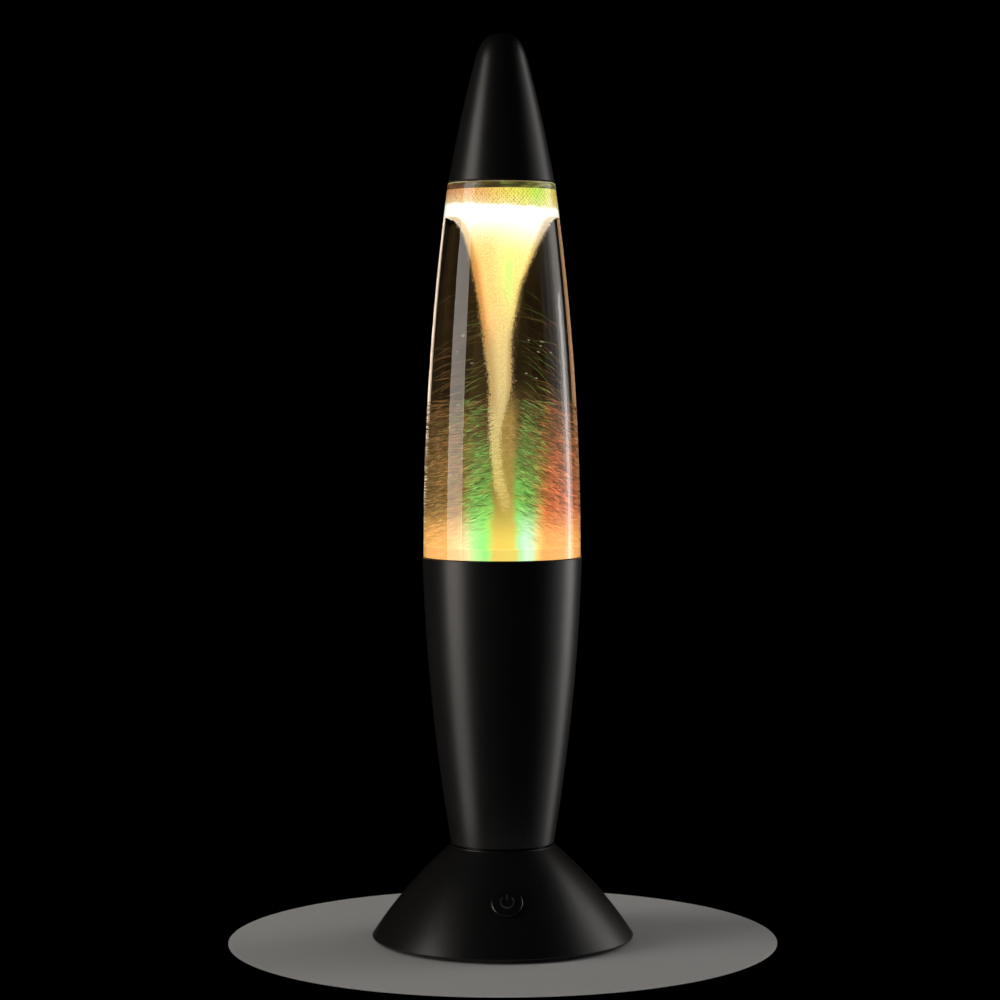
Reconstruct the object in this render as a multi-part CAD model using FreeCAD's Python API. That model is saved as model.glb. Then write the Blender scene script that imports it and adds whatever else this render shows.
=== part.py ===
"""Rocket-shaped vortex lamp.

A clear tapered vessel of liquid stands in a black tapered body on a flared base. A motor under the
vessel turns an impeller inside it through a pair of magnets, and the beads that float on the liquid are
drawn down into a funnel. Origin: centre of the footprint on the floor, +Z up, push button towards -Y.
Millimetres.
"""
import FreeCAD, Part
import math
import os

V = FreeCAD.Vector
UP = V(0, 0, 1)
AXIS = V(0, 0, 0)

# ---- clearances ----------------------------------------------------------------------------------
running_fit = 0.08          # radial, round a shaft or pin that turns
guide_fit = 0.1             # radial, round a button that slides
loose_fit = 0.3             # between moulded pieces, and round what moves near them
screw_fit = 0.05            # radial, round a screw
bond_gap = 0.2              # filled by cement or liquid film
cement_gap = 0.05           # filled by cement, where ribs meet a curved wall

# ---- walls ---------------------------------------------------------------------------------------
shell_wall = 2.0            # body and base, measured level
cap_wall = 1.6
vessel_wall = 2.0

# ---- base: flared skirt with a flat deck ------------------------------------------------------------
base_radius = 50.0
rim_round = 1.0             # rounding where the skirt meets its foot edge
foot_stand = 1.0            # floor to the underside of the base
base_top_radius = 19.5
base_top_z = 36.9
base_top_round = 0.4
skirt_bulge = 1.6           # rise of the skirt's arc over its chord
skirt_wall = 2.65           # measured level, 2 mm square to the slope
deck_thickness = 2.5
seam_gap = 0.4              # shadow groove between base and body
seam_depth = 1.4
wire_hole_radius = 8.0

# ---- base plate, battery tray and door -----------------------------------------------------------
plate_thickness = 2.6
door_thickness = 1.6
cell_radius = 7.25
cell_length = 49.5
cell_nub = 1.0
cell_nub_radius = 2.75
cell_play = 0.45            # round each cell
cell_pitch = 15.1
cell_count = 3
tray_wall = 1.2
tray_centre_y = 1.0
contact_room = 1.9         # each end of a cell, for spring or dimple
contact_sheet = 0.3
contact_size = 9.0
door_lip = 1.4              # width of the ledge round the battery opening
hinge_width = 16.0
hinge_barrel_radius = 1.1
hinge_pin_radius = 0.5
hinge_offset = 2.6          # door edge to hinge axis
hinge_pin_hold = 3.0        # length of pin held in the plate at each end
pull_notch_radius = 5.0     # finger notch at the free edge of the door

# ---- feet ----------------------------------------------------------------------------------------
foot_radius = 4.5
foot_seat = 0.6             # depth of each foot's recess
foot_inset = 10.0           # skirt's edge to each foot's centre
foot_angles = (60, 120, 240, 300)

# ---- screws --------------------------------------------------------------------------------------
small_screw = dict(shank=0.9, head=1.7, head_height=1.2)
large_screw = dict(shank=1.25, head=2.4, head_height=1.4)
drive_depth = 0.7           # cross recess in each screw head
drive_width = 0.5
plate_screw_inset = 9.0     # skirt's edge to each screw's centre
plate_screw_clear = 0.3     # screw head to the end of the hinge pin, measured along the pin
plate_boss_radius = 3.2
plate_screw_length = 8.0
body_screw_circle = 13.5
body_screw_length = 9.5
body_boss_radius = 3.2
body_boss_height = 6.0
tripod_angles = (90, 210, 330)

# ---- body ----------------------------------------------------------------------------------------
body_bottom_radius = 19.65
body_top_radius = 30.4
body_height = 109.5
body_bulge = 1.92
body_edge_round = 0.6
body_floor = 2.5
shelf_drop = 8.8            # body rim to the top of the shelf
shelf_thickness = 2.0
shelf_inner_radius = 17.0

# ---- vessel --------------------------------------------------------------------------------------
vessel_bottom_radius = 30.02
vessel_top_radius = 20.35
vessel_height = 141.6
vessel_bulge = 2.44
vessel_top_wall = 1.6
neck_radius = 8.0
neck_bore = 6.0
neck_height = 8.2
gasket_height = 0.4
floor_thickness = 3.0
floor_recess = 1.0          # vessel's foot edge to the underside of its floor
floor_skirt_wall = 2.4
floor_boss_radius = 2.6
vessel_screw_circle = 24.4
vessel_screw_bite = 6.5     # length in the vessel floor's boss

# ---- impeller well and impeller --------------------------------------------------------------------
well_radius = 11.5
well_depth = 7.8
well_wall = 1.6
pivot_boss_radius = 2.2
pivot_boss_height = 1.0
pivot_pin_radius = 1.0
pivot_pin_seat = 1.8        # depth of the pin in the boss and the well's floor
impeller_radius = 9.5
impeller_disc = 2.4
hub_radius = 2.4
hub_height = 4.8
blade_count = 5
blade_height = 2.2
blade_thickness = 1.0
blade_lean = 3.4            # sideways reach of a blade's tip
impeller_lift = 0.4         # running gap over the pivot boss
clip_radius = 2.0
clip_height = 0.8
magnet_radius = 2.4
magnet_height = 1.8
magnet_circle = 6.0
magnet_count = 2

# ---- drive under the vessel ------------------------------------------------------------------------
rotor_radius = 11.0
rotor_height = 3.4
rotor_gap = 0.8             # rotor to the underside of the well
motor_radius = 12.2
motor_height = 12.3
motor_round = 0.8
motor_boss_radius = 3.5
motor_boss_height = 1.2
end_cap_height = 1.5
end_cap_radius = 11.4
shaft_radius = 1.0
terminal_size = (2.2, 0.4, 3.0)
terminal_spread = 8.0
mount_thickness = 2.0
mount_hub_radius = 15.0
mount_arm_width = 8.0
mount_lug_radius = 2.9
motor_screw_circle = 8.0
motor_screw_bite = 2.2

# ---- light ring ----------------------------------------------------------------------------------
board_thickness = 1.6
led_board_inner = 14.6
led_board_outer = 21.6
led_count = 6
led_size = 5.0
led_height = 1.6
led_circle = 17.8
led_screw_circle = 20.0
led_screw_angles = (30, 150, 270)

# ---- nose cap ------------------------------------------------------------------------------------
cap_gasket_height = 0.7
cap_gasket_inset = 0.8
cap_bottom_radius = 20.1
nose_radius = 9.95          # where the side turns into the rounded nose
nose_height = 10.0
nose_side_pull = 9.5        # how far the side's own direction carries into the nose
nose_tip_pull = 4.3         # how far the tip's level direction carries outwards
cap_height = 55.9
cap_bulge = 0.54
collar_bore_gap = 0.5
collar_wall = 1.6
collar_start = 1.5          # cap edge to the collar's lower end
collar_height = 14.0
cap_rib_count = 4
cap_rib_thickness = 1.2
cap_rib_start = 3.0
stopper_head_radius = 7.6
stopper_head_height = 2.5
stopper_plug_length = 7.0
stopper_plug_bore = 3.6
stopper_slot = 1.6
seal_height = 0.8

# ---- floating beads and vortex ---------------------------------------------------------------------
raft_depth = 10.8           # thickness of the floating bead layer
raft_headroom = 0.3
funnel_mouth_radius = 12.8
funnel_mouth_drop = 2.6     # below the raft
funnel_waist_radius = 3.7
funnel_waist_drop = 51.0
funnel_hollow = 3.4         # inward bow of the funnel's flank
tail_radius = 3.8
tail_clearance = 1.0        # end of the tail over the impeller pin

# ---- push button and its switch ---------------------------------------------------------------------
button_z = 20.3             # height of the button's centre on the skirt
button_radius = 5.95
button_proud = 0.9
button_round = 0.5
button_flange = 7.1
button_flange_depth = 2.9   # outer surface to the top of the flange
button_flange_height = 1.0
button_stem = 1.6
switch_depth = 9.6          # outer surface to the switch board
switch_size = 6.0
switch_height = 3.4
plunger_radius = 1.7
plunger_proud = 0.8
plunger_seat = 1.2
plunger_gap = 0.1
travel_room = 0.9           # free depth under the plunger
switch_board_width = 27.0
switch_board_depth = 14.0
switch_board_thickness = 1.2
switch_boss_spread = 10.5
switch_boss_radius = 2.4
switch_screw_bite = 4.0

# ---- main board ----------------------------------------------------------------------------------
main_board_x = 40.0
main_board_y = 36.0
main_board_lift = 1.9       # tray crest to board
standoff_radius = 2.5
standoff_x = 17.0
main_screw_bite = 2.6
chip_size = (5.0, 8.0, 1.6)
capacitor_radius = 3.2
capacitor_height = 7.0
header_size = (7.5, 4.5, 5.0)
header_wall = 0.8
header_floor = 1.2
header_spot = (7.0, -12.0)  # from the board's centre, one each side
chip_spot = (-7.0, 0.0)
capacitor_spot = (4.0, 1.0)

# ---- stations derived from the sizes above ---------------------------------------------------------
deck_z = base_top_z + seam_gap
body_z = deck_z
body_top_z = body_z + body_height
vessel_z = body_top_z + gasket_height
vessel_top_z = vessel_z + vessel_height
shelf_z = body_top_z - shelf_drop
floor_z = vessel_z + floor_recess
liquid_z = floor_z + floor_thickness
well_z = liquid_z - well_depth
well_under_z = well_z - well_wall
pin_top_z = liquid_z - bond_gap
impeller_z = well_z + pivot_boss_height + impeller_lift
rotor_z = well_under_z - rotor_gap - rotor_height
motor_top_z = shelf_z - shelf_thickness - mount_thickness
motor_z = motor_top_z - motor_height
plate_z = foot_stand
foot_circle = base_radius - foot_inset
plate_screw_circle = base_radius - plate_screw_inset
hinge_pin_half = hinge_width / 2 + loose_fit + hinge_pin_hold
plate_screw_y = tray_centre_y + hinge_pin_half + large_screw["head"] + loose_fit + plate_screw_clear
plate_screw_turn = math.degrees(math.asin(plate_screw_y / plate_screw_circle))
plate_screw_angles = [turn + side * plate_screw_turn for turn in (0, 180) for side in (-1, 1)]
plate_top_z = plate_z + plate_thickness
cell_z = plate_z + door_thickness + cell_play + cell_radius
trough_radius = cell_radius + cell_play
tray_radius = trough_radius + tray_wall
tray_half = cell_length / 2 + contact_room
tray_top_z = cell_z + tray_radius
tray_half_y = (cell_count - 1) * cell_pitch / 2 + trough_radius
cell_rows = [tray_centre_y + (i - (cell_count - 1) / 2) * cell_pitch for i in range(cell_count)]
main_board_z = tray_top_z + main_board_lift
cap_z = vessel_top_z + cap_gasket_height
cap_top_z = cap_z + cap_height
neck_top_z = vessel_top_z + neck_height
raft_top_z = vessel_top_z - vessel_top_wall - raft_headroom
raft_z = raft_top_z - raft_depth


# ---- shared helpers ------------------------------------------------------------------------------
def ring(outer, inner, low, high):
    """Tube on the Z axis."""
    tube = Part.makeCylinder(outer, high - low, V(0, 0, low))
    if inner > 0:
        tube = tube.cut(Part.makeCylinder(inner, high - low + 2, V(0, 0, low - 1)))
    return tube


def post(radius, low, high, x=0, y=0):
    return Part.makeCylinder(radius, high - low, V(x, y, low))


def block(x_size, y_size, low, high, x=0, y=0):
    """Upright box centred on (x, y)."""
    return Part.makeBox(x_size, y_size, high - low, V(x - x_size / 2, y - y_size / 2, low))


def polar(circle, angle):
    return circle * math.cos(math.radians(angle)), circle * math.sin(math.radians(angle))


def bowed(start, end, bulge):
    """Arc from start to end, given as (radius, z), bowed away from the axis by bulge."""
    dr, dz = end[0] - start[0], end[1] - start[1]
    span = math.hypot(dr, dz)
    side = 1 if dz > 0 else -1
    middle = ((start[0] + end[0]) / 2 + side * bulge * dz / span,
              (start[1] + end[1]) / 2 - side * bulge * dr / span)
    return Part.Arc(V(start[0], 0, start[1]), V(middle[0], 0, middle[1]), V(end[0], 0, end[1]))


def line(start, end):
    return Part.LineSegment(V(start[0], 0, start[1]), V(end[0], 0, end[1]))


def turned(curves):
    """Solid of revolution about Z from a closed outline of curves in the XZ plane."""
    edges = [curve.toShape() for curve in curves]
    face = Part.Face(Part.Wire(Part.__sortEdges__(edges)))
    return face.revolve(AXIS, UP, 360)


def fuse(shapes):
    whole = shapes[0].multiFuse(shapes[1:]) if len(shapes) > 1 else shapes[0]
    return whole.removeSplitter()


def around(shape, angles):
    """Copies of a shape turned about Z."""
    copies = []
    for angle in angles:
        copy = shape.copy()
        copy.rotate(AXIS, UP, angle)
        copies.append(copy)
    return copies


def round_edges(solid, radius, pick):
    edges = [edge for edge in solid.Edges if pick(edge)]
    return solid.makeFillet(radius, edges) if edges else solid


def rim_at(z, radius):
    """Picks circular edges of one radius at one height."""
    def pick(edge):
        curve = edge.Curve
        if not isinstance(curve, Part.Circle):
            return False
        return abs(curve.Radius - radius) < 1e-3 and abs(curve.Center.z - z) < 1e-3
    return pick


def screw(size, seat_z, length, up=True, x=0, y=0):
    """Pan-head screw whose head seats at seat_z, its shank pointing up or down."""
    shank = post(size["shank"], 0, length)
    head = post(size["head"], -size["head_height"], 0)
    head = round_edges(head, size["head_height"] * 0.4, rim_at(-size["head_height"], size["head"]))
    reach = size["head"] * 1.3
    bottom = -size["head_height"] - 1
    cross = fuse([block(reach, drive_width, bottom, bottom + 1 + drive_depth),
                  block(drive_width, reach, bottom, bottom + 1 + drive_depth)])
    body = shank.fuse(head).cut(cross).removeSplitter()
    if not up:
        body.rotate(AXIS, V(1, 0, 0), 180)
    body.translate(V(x, y, seat_z))
    return body


# ---- outlines ------------------------------------------------------------------------------------
def skirt_arc(inset):
    top = (base_top_radius + base_top_round - inset, base_top_z - base_top_round)
    return bowed((base_radius - inset, foot_stand + rim_round), top, skirt_bulge)


def skirt_solid(inset):
    """The base's outer form, drawn in by inset."""
    rim = base_radius - inset
    top = base_top_radius - inset
    low = (rim, foot_stand + rim_round)
    high = (top + base_top_round, base_top_z - base_top_round)
    return turned([
        line((0, foot_stand), (rim - rim_round, foot_stand)),
        bowed((rim - rim_round, foot_stand), low, rim_round * 0.25),
        skirt_arc(inset),
        bowed(high, (top, base_top_z), base_top_round * 0.25),
        line((top, base_top_z), (0, base_top_z)),
        line((0, base_top_z), (0, foot_stand))])


def skirt_frame():
    """Surface point, tilt and placement of the button's axis, square to the skirt."""
    circle = skirt_arc(0).toShape().Curve
    rise = (button_z - circle.Center.z) / circle.Radius
    level = math.sqrt(1 - rise * rise)
    radius = circle.Center.x + circle.Radius * level
    tilt = math.degrees(math.atan2(level, rise))
    return FreeCAD.Placement(V(0, -radius, button_z), FreeCAD.Rotation(V(1, 0, 0), tilt))


def body_arc(inset):
    return bowed((body_bottom_radius - inset, body_z), (body_top_radius - inset, body_top_z), body_bulge)


def vessel_arc(inset):
    low = (vessel_bottom_radius - inset, vessel_z)
    return bowed(low, (vessel_top_radius - inset, vessel_top_z), vessel_bulge)


def under_arc(arc, low, high):
    """Solid of revolution between the axis and an arc that rises from low to high."""
    first, last = arc.StartPoint, arc.EndPoint
    whole = turned([
        line((0, first.z), (first.x, first.z)), arc,
        line((last.x, last.z), (0, last.z)), line((0, last.z), (0, first.z))])
    reach = 2 * max(first.x, last.x)
    return whole.common(post(reach, low, high))


# ---- base ----------------------------------------------------------------------------------------
def button_space():
    """Hole through the skirt for the push button, in the button's own frame."""
    hole = post(button_radius + guide_fit, -button_flange_depth - 6, button_proud + 4)
    hole.Placement = skirt_frame()
    return hole


def switch_bosses():
    bosses = []
    for side in (-1, 1):
        boss = post(switch_boss_radius, -switch_depth, -shell_wall * 0.6, side * switch_boss_spread)
        pilot = post(small_screw["shank"] + screw_fit, -switch_depth - 1,
                     -switch_depth + switch_screw_bite + 0.4, side * switch_boss_spread)
        boss.Placement = skirt_frame()
        pilot.Placement = skirt_frame()
        bosses.append((boss, pilot))
    return bosses


def base_shell():
    outer = skirt_solid(0)
    deck = post(base_top_radius - seam_depth, base_top_z - 1, deck_z)
    cavity = skirt_solid(skirt_wall).common(post(base_radius, 0, deck_z - deck_thickness))
    mouth = post(base_radius - skirt_wall - rim_round, 0, foot_stand + 2 * rim_round)
    shell = outer.fuse(deck).cut(fuse([cavity, mouth]))
    shell = shell.cut(post(wire_hole_radius, deck_z - 10, deck_z + 1))
    limit = skirt_solid(skirt_wall / 2)
    pilots = []
    for angle in plate_screw_angles:
        x, y = polar(plate_screw_circle, angle)
        shell = shell.fuse(post(plate_boss_radius, plate_top_z, base_top_z, x, y).common(limit))
        top = plate_z + large_screw["head_height"] + plate_screw_length + loose_fit
        pilots.append(post(large_screw["shank"] + screw_fit, plate_z, top, x, y))
    for boss, pilot in switch_bosses():
        shell = shell.fuse(boss.common(limit))
        pilots.append(pilot)
    for angle in tripod_angles:
        x, y = polar(body_screw_circle, angle)
        pilots.append(post(large_screw["shank"] + screw_fit, base_top_z - 10, deck_z + 1, x, y))
    return shell.cut(fuse([button_space()] + pilots)).removeSplitter()


def hinge_centre():
    return V(-(tray_half + door_lip) - hinge_offset, tray_centre_y, plate_z + hinge_barrel_radius)


def door_outline(grow):
    """Length and width of the door's recess, grown all round."""
    return 2 * (tray_half + door_lip + grow), 2 * (tray_half_y + door_lip + grow)


def battery_tray():
    """Scalloped trough over each cell, with standoffs for the main board on its outer crests."""
    length = 2 * (tray_half + tray_wall)
    start = V(-length / 2, 0, cell_z)
    troughs = []
    for y in cell_rows:
        troughs.append(Part.makeCylinder(tray_radius, length, start + V(0, y, 0), V(1, 0, 0)))
    foot = block(length, 2 * (tray_half_y + tray_wall), plate_z, cell_z, 0, tray_centre_y)
    whole = fuse(troughs + [foot]).common(block(length, base_radius * 2, plate_z, tray_top_z + 1))
    whole = whole.common(skirt_solid(skirt_wall + loose_fit))
    for y in (cell_rows[0], cell_rows[-1]):
        for side in (-1, 1):
            whole = whole.fuse(post(standoff_radius, tray_top_z - tray_wall / 2, main_board_z,
                                    side * standoff_x, y))
    return whole


def tray_space():
    length = 2 * tray_half
    spaces = [block(length, 2 * tray_half_y, plate_z - 1, cell_z, 0, tray_centre_y)]
    for y in cell_rows:
        spaces.append(Part.makeCylinder(trough_radius, length, V(-tray_half, y, cell_z), V(1, 0, 0)))
    return fuse(spaces)


def base_plate():
    plate = post(base_radius - skirt_wall - rim_round - loose_fit, plate_z, plate_top_z)
    plate = plate.fuse(battery_tray()).cut(tray_space())
    length, width = door_outline(loose_fit)
    plate = plate.cut(block(length, width, plate_z - 1, plate_z + door_thickness, 0, tray_centre_y))
    hinge = hinge_centre()
    slot_end = hinge.x - hinge_barrel_radius - loose_fit
    slot_length = -(tray_half + door_lip) - slot_end
    slot = block(slot_length, hinge_width + 2 * loose_fit, plate_z - 1, plate_top_z + 1,
                 slot_end + slot_length / 2, hinge.y)
    cuts = [slot, hinge_pin_solid()]
    for angle in foot_angles:
        x, y = polar(foot_circle, angle)
        cuts.append(post(foot_radius, plate_z - 1, plate_z + foot_seat, x, y))
    for angle in plate_screw_angles:
        x, y = polar(plate_screw_circle, angle)
        cuts.append(post(large_screw["shank"] + screw_fit, plate_z - 1, plate_top_z + 1, x, y))
        head_space = large_screw["head"] + loose_fit
        cuts.append(post(head_space, plate_z - 1, plate_z + large_screw["head_height"], x, y))
    for y in (cell_rows[0], cell_rows[-1]):
        for side in (-1, 1):
            cuts.append(post(small_screw["shank"] + screw_fit, main_board_z - main_screw_bite - 0.2,
                             main_board_z + 1, side * standoff_x, y))
    return plate.cut(fuse(cuts)).removeSplitter()


def hinge_pin_solid():
    hinge = hinge_centre()
    start = hinge - V(0, hinge_pin_half, 0)
    return Part.makeCylinder(hinge_pin_radius, 2 * hinge_pin_half, start, V(0, 1, 0))


def battery_door():
    """Flush door with one hinge barrel, ribs across its inner face and a finger notch."""
    length, width = door_outline(0)
    door = block(length, width, plate_z, plate_z + door_thickness, 0, tray_centre_y)
    hinge = hinge_centre()
    start = hinge - V(0, hinge_width / 2, 0)
    barrel = Part.makeCylinder(hinge_barrel_radius, hinge_width, start, V(0, 1, 0))
    web = block(hinge_offset + 1, hinge_width, plate_z, plate_z + door_thickness,
                hinge.x + (hinge_offset + 1) / 2, hinge.y)
    bore = Part.makeCylinder(hinge_pin_radius + running_fit, hinge_width + 2,
                             start - V(0, 1, 0), V(0, 1, 0))
    notch = post(pull_notch_radius, plate_z - 1, plate_z + door_thickness / 2, length / 2, tray_centre_y)
    return door.fuse([barrel, web]).cut(bore).cut(notch).removeSplitter()


def battery_cells():
    cells = []
    for row, y in enumerate(cell_rows):
        turn = 1 if row % 2 == 0 else -1
        start = V(-turn * cell_length / 2, y, cell_z)
        can = Part.makeCylinder(cell_radius, cell_length, start, V(turn, 0, 0))
        can = can.makeFillet(0.6, [edge for edge in can.Edges if isinstance(edge.Curve, Part.Circle)])
        tip = V(turn * cell_length / 2, y, cell_z)
        cells.append(can.fuse(Part.makeCylinder(cell_nub_radius, cell_nub, tip, V(turn, 0, 0))))
    return cells


def battery_contacts():
    """Sheet at each end of each cell, with a tapered spring at the flat end and a dimple at the nub."""
    pieces = []
    for row, y in enumerate(cell_rows):
        turn = 1 if row % 2 == 0 else -1
        for end in (-1, 1):
            at_nub = end == turn
            reach = contact_room - contact_sheet - (cell_nub if at_nub else 0)
            sheet = Part.makeBox(contact_sheet, contact_size, contact_size,
                                 V(end * tray_half - (contact_sheet if end > 0 else 0),
                                   y - contact_size / 2, cell_z - contact_size / 2))
            base = V(end * (tray_half - contact_sheet), y, cell_z)
            wide, narrow = (2.6, 1.8) if at_nub else (4.2, 2.6)
            pieces.append(sheet.fuse(Part.makeCone(wide, narrow, reach, base, V(-end, 0, 0))))
    return pieces


def feet():
    pads = []
    for angle in foot_angles:
        x, y = polar(foot_circle, angle)
        pad = post(foot_radius - screw_fit, 0, plate_z + foot_seat, x, y)
        pads.append(round_edges(pad, 0.4, rim_at(0, foot_radius - screw_fit)))
    return pads


def base_screws():
    seat = plate_z + large_screw["head_height"]
    spots = [polar(plate_screw_circle, angle) for angle in plate_screw_angles]
    return [screw(large_screw, seat, plate_screw_length, True, x, y) for x, y in spots]


def body_screws():
    spots = [polar(body_screw_circle, angle) for angle in tripod_angles]
    return [screw(large_screw, deck_z - deck_thickness, body_screw_length, True, x, y) for x, y in spots]


# ---- push button and switch -----------------------------------------------------------------------
def power_button():
    top = round_edges(post(button_radius, -button_flange_depth, button_proud), button_round,
                      rim_at(button_proud, button_radius))
    low = -button_flange_depth - button_flange_height
    flange = post(button_flange, low, -button_flange_depth)
    stem_end = -switch_depth + switch_height + plunger_proud + plunger_gap
    stem = post(button_stem, stem_end, low)
    button = fuse([top, flange, stem])
    button.Placement = skirt_frame()
    return button


def switch_plunger():
    top = -switch_depth + switch_height + plunger_proud
    plunger = post(plunger_radius, top - plunger_proud - plunger_seat, top)
    plunger.Placement = skirt_frame()
    return plunger


def switch_body():
    case = block(switch_size, switch_size, -switch_depth, -switch_depth + switch_height)
    case = round_edges(case, 0.5, lambda edge: abs(edge.tangentAt(edge.FirstParameter).z) > 0.99)
    well = post(plunger_radius + running_fit,
                -switch_depth + switch_height - plunger_seat - travel_room, 0)
    case = case.cut(well)
    case.Placement = skirt_frame()
    return case


def switch_board():
    low = -switch_depth - switch_board_thickness
    board = block(switch_board_width, switch_board_depth, low, -switch_depth)
    board = round_edges(board, 1.5, lambda edge: abs(edge.tangentAt(edge.FirstParameter).z) > 0.99)
    for side in (-1, 1):
        board = board.cut(post(small_screw["shank"] + screw_fit, low - 1, 0, side * switch_boss_spread))
    board.Placement = skirt_frame()
    return board


def switch_screws():
    screws = []
    for side in (-1, 1):
        piece = screw(small_screw, -switch_depth - switch_board_thickness,
                      switch_board_thickness + switch_screw_bite, True, side * switch_boss_spread)
        piece.Placement = skirt_frame().multiply(piece.Placement)
        screws.append(piece)
    return screws


# ---- main board ----------------------------------------------------------------------------------
def board_centre_y():
    return (cell_rows[0] + cell_rows[-1]) / 2


def main_board():
    board = block(main_board_x, main_board_y, main_board_z, main_board_z + board_thickness,
                  0, board_centre_y())
    board = round_edges(board, 1.5, lambda edge: abs(edge.tangentAt(edge.FirstParameter).z) > 0.99)
    for y in (cell_rows[0], cell_rows[-1]):
        for side in (-1, 1):
            board = board.cut(post(small_screw["shank"] + screw_fit, main_board_z - 1,
                                   main_board_z + board_thickness + 1, side * standoff_x, y))
    return board


def main_screws():
    seat = main_board_z + board_thickness
    length = board_thickness + main_screw_bite
    screws = []
    for y in (cell_rows[0], cell_rows[-1]):
        for side in (-1, 1):
            screws.append(screw(small_screw, seat, length, False, side * standoff_x, y))
    return screws


def board_parts():
    """Driver chip, capacitor and two lead headers."""
    top = main_board_z + board_thickness
    y = board_centre_y()
    chip = block(chip_size[0], chip_size[1], top, top + chip_size[2], chip_spot[0], y + chip_spot[1])
    can = post(capacitor_radius, top, top + capacitor_height, capacitor_spot[0], y + capacitor_spot[1])
    can = round_edges(can, 0.5, rim_at(top + capacitor_height, capacitor_radius))
    headers = []
    for side in (-1, 1):
        x = side * header_spot[0]
        header = block(header_size[0], header_size[1], top, top + header_size[2], x, y + header_spot[1])
        slot = block(header_size[0] - 2 * header_wall, header_size[1] - 2 * header_wall,
                     top + header_floor, top + header_size[2] + 1, x, y + header_spot[1])
        headers.append(header.cut(slot))
    return [chip], [can], headers


# ---- body ----------------------------------------------------------------------------------------
def body_shell():
    outer = under_arc(body_arc(0), body_z, body_top_z)
    outer = round_edges(outer, body_edge_round, rim_at(body_z, body_bottom_radius))
    cavity = under_arc(body_arc(shell_wall), body_z + body_floor, body_top_z)
    shell = outer.cut(cavity)
    shelf = ring(body_top_radius, shelf_inner_radius, shelf_z - shelf_thickness, shelf_z)
    shell = shell.fuse(shelf.common(under_arc(body_arc(shell_wall / 2), body_z, body_top_z)))
    cuts = [post(wire_hole_radius, body_z - 1, body_z + body_floor + 1)]
    for angle in tripod_angles:
        x, y = polar(body_screw_circle, angle)
        boss = post(body_boss_radius, body_z + body_floor / 2, body_z + body_floor + body_boss_height, x, y)
        shell = shell.fuse(boss)
        reach = body_z - deck_thickness + body_screw_length + loose_fit
        cuts.append(post(large_screw["shank"] + screw_fit, body_z - 1, reach, x, y))
        x, y = polar(vessel_screw_circle, angle)
        cuts.append(post(large_screw["shank"] + screw_fit, shelf_z - shelf_thickness - 1, shelf_z + 1, x, y))
    for angle in led_screw_angles:
        x, y = polar(led_screw_circle, angle)
        cuts.append(post(small_screw["shank"] + screw_fit, shelf_z - shelf_thickness - 1, shelf_z + 1, x, y))
    return shell.cut(fuse(cuts)).removeSplitter()


def motor_mount():
    """Three-armed carrier screwed up under the shelf, with the motor below its hub."""
    low, high = motor_top_z, motor_top_z + mount_thickness
    pieces = [post(mount_hub_radius, low, high)]
    arm = block(vessel_screw_circle, mount_arm_width, low, high, vessel_screw_circle / 2)
    lug = post(mount_lug_radius, low, high, vessel_screw_circle)
    pieces += around(arm, tripod_angles) + around(lug, tripod_angles)
    cuts = [post(motor_boss_radius + bond_gap, low - 1, high + 1)]
    cuts += around(post(large_screw["shank"] + screw_fit, low - 1, high + 1, vessel_screw_circle),
                   tripod_angles)
    cuts += around(post(small_screw["shank"] + screw_fit, low - 1, high + 1, motor_screw_circle), (0, 180))
    return fuse(pieces).cut(fuse(cuts)).removeSplitter()


def motor_can():
    can = post(motor_radius, motor_z + end_cap_height, motor_top_z)
    can = round_edges(can, motor_round, rim_at(motor_top_z, motor_radius))
    can = can.fuse(post(motor_boss_radius, motor_top_z - 1, motor_top_z + motor_boss_height))
    can = can.cut(post(shaft_radius + running_fit, motor_z - 1, motor_top_z + 5))
    depth = motor_top_z - motor_screw_bite - 0.3
    pilots = around(post(small_screw["shank"] + screw_fit, depth, motor_top_z + 1, motor_screw_circle),
                    (0, 180))
    return can.cut(fuse(pilots)).removeSplitter()


def motor_end_cap():
    cap = post(end_cap_radius, motor_z, motor_z + end_cap_height)
    cap = cap.fuse(post(motor_boss_radius, motor_z - motor_boss_height, motor_z))
    bore = post(shaft_radius + running_fit, motor_z - motor_boss_height + 0.6,
                motor_z + end_cap_height + 1)
    return cap.cut(bore).removeSplitter()


def motor_terminals():
    x_size, y_size, drop = terminal_size
    return [block(x_size, y_size, motor_z - drop, motor_z, side * terminal_spread) for side in (-1, 1)]


def motor_screws():
    seat = motor_top_z + mount_thickness
    length = mount_thickness + motor_screw_bite
    low = dict(small_screw, head_height=0.9)
    return [screw(low, seat, length, False, side * motor_screw_circle) for side in (-1, 1)]


def vessel_screws():
    length = mount_thickness + shelf_thickness + vessel_screw_bite
    spots = [polar(vessel_screw_circle, angle) for angle in tripod_angles]
    return [screw(large_screw, motor_top_z, length, True, x, y) for x, y in spots]


def motor_shaft():
    low = motor_z - motor_boss_height + 0.9
    return post(shaft_radius, low, rotor_z + rotor_height)


def magnet_pockets(low):
    step = 360 / magnet_count
    magnet = post(magnet_radius, low, low + magnet_height, magnet_circle)
    return around(magnet, [i * step for i in range(magnet_count)])


def drive_rotor():
    top = rotor_z + rotor_height
    rotor = round_edges(post(rotor_radius, rotor_z, top), 0.6, rim_at(rotor_z, rotor_radius))
    cuts = magnet_pockets(top - magnet_height) + [post(shaft_radius, rotor_z - 1, top + 1)]
    return rotor.cut(fuse(cuts)).removeSplitter()


def drive_magnets():
    return magnet_pockets(rotor_z + rotor_height - magnet_height)


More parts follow.
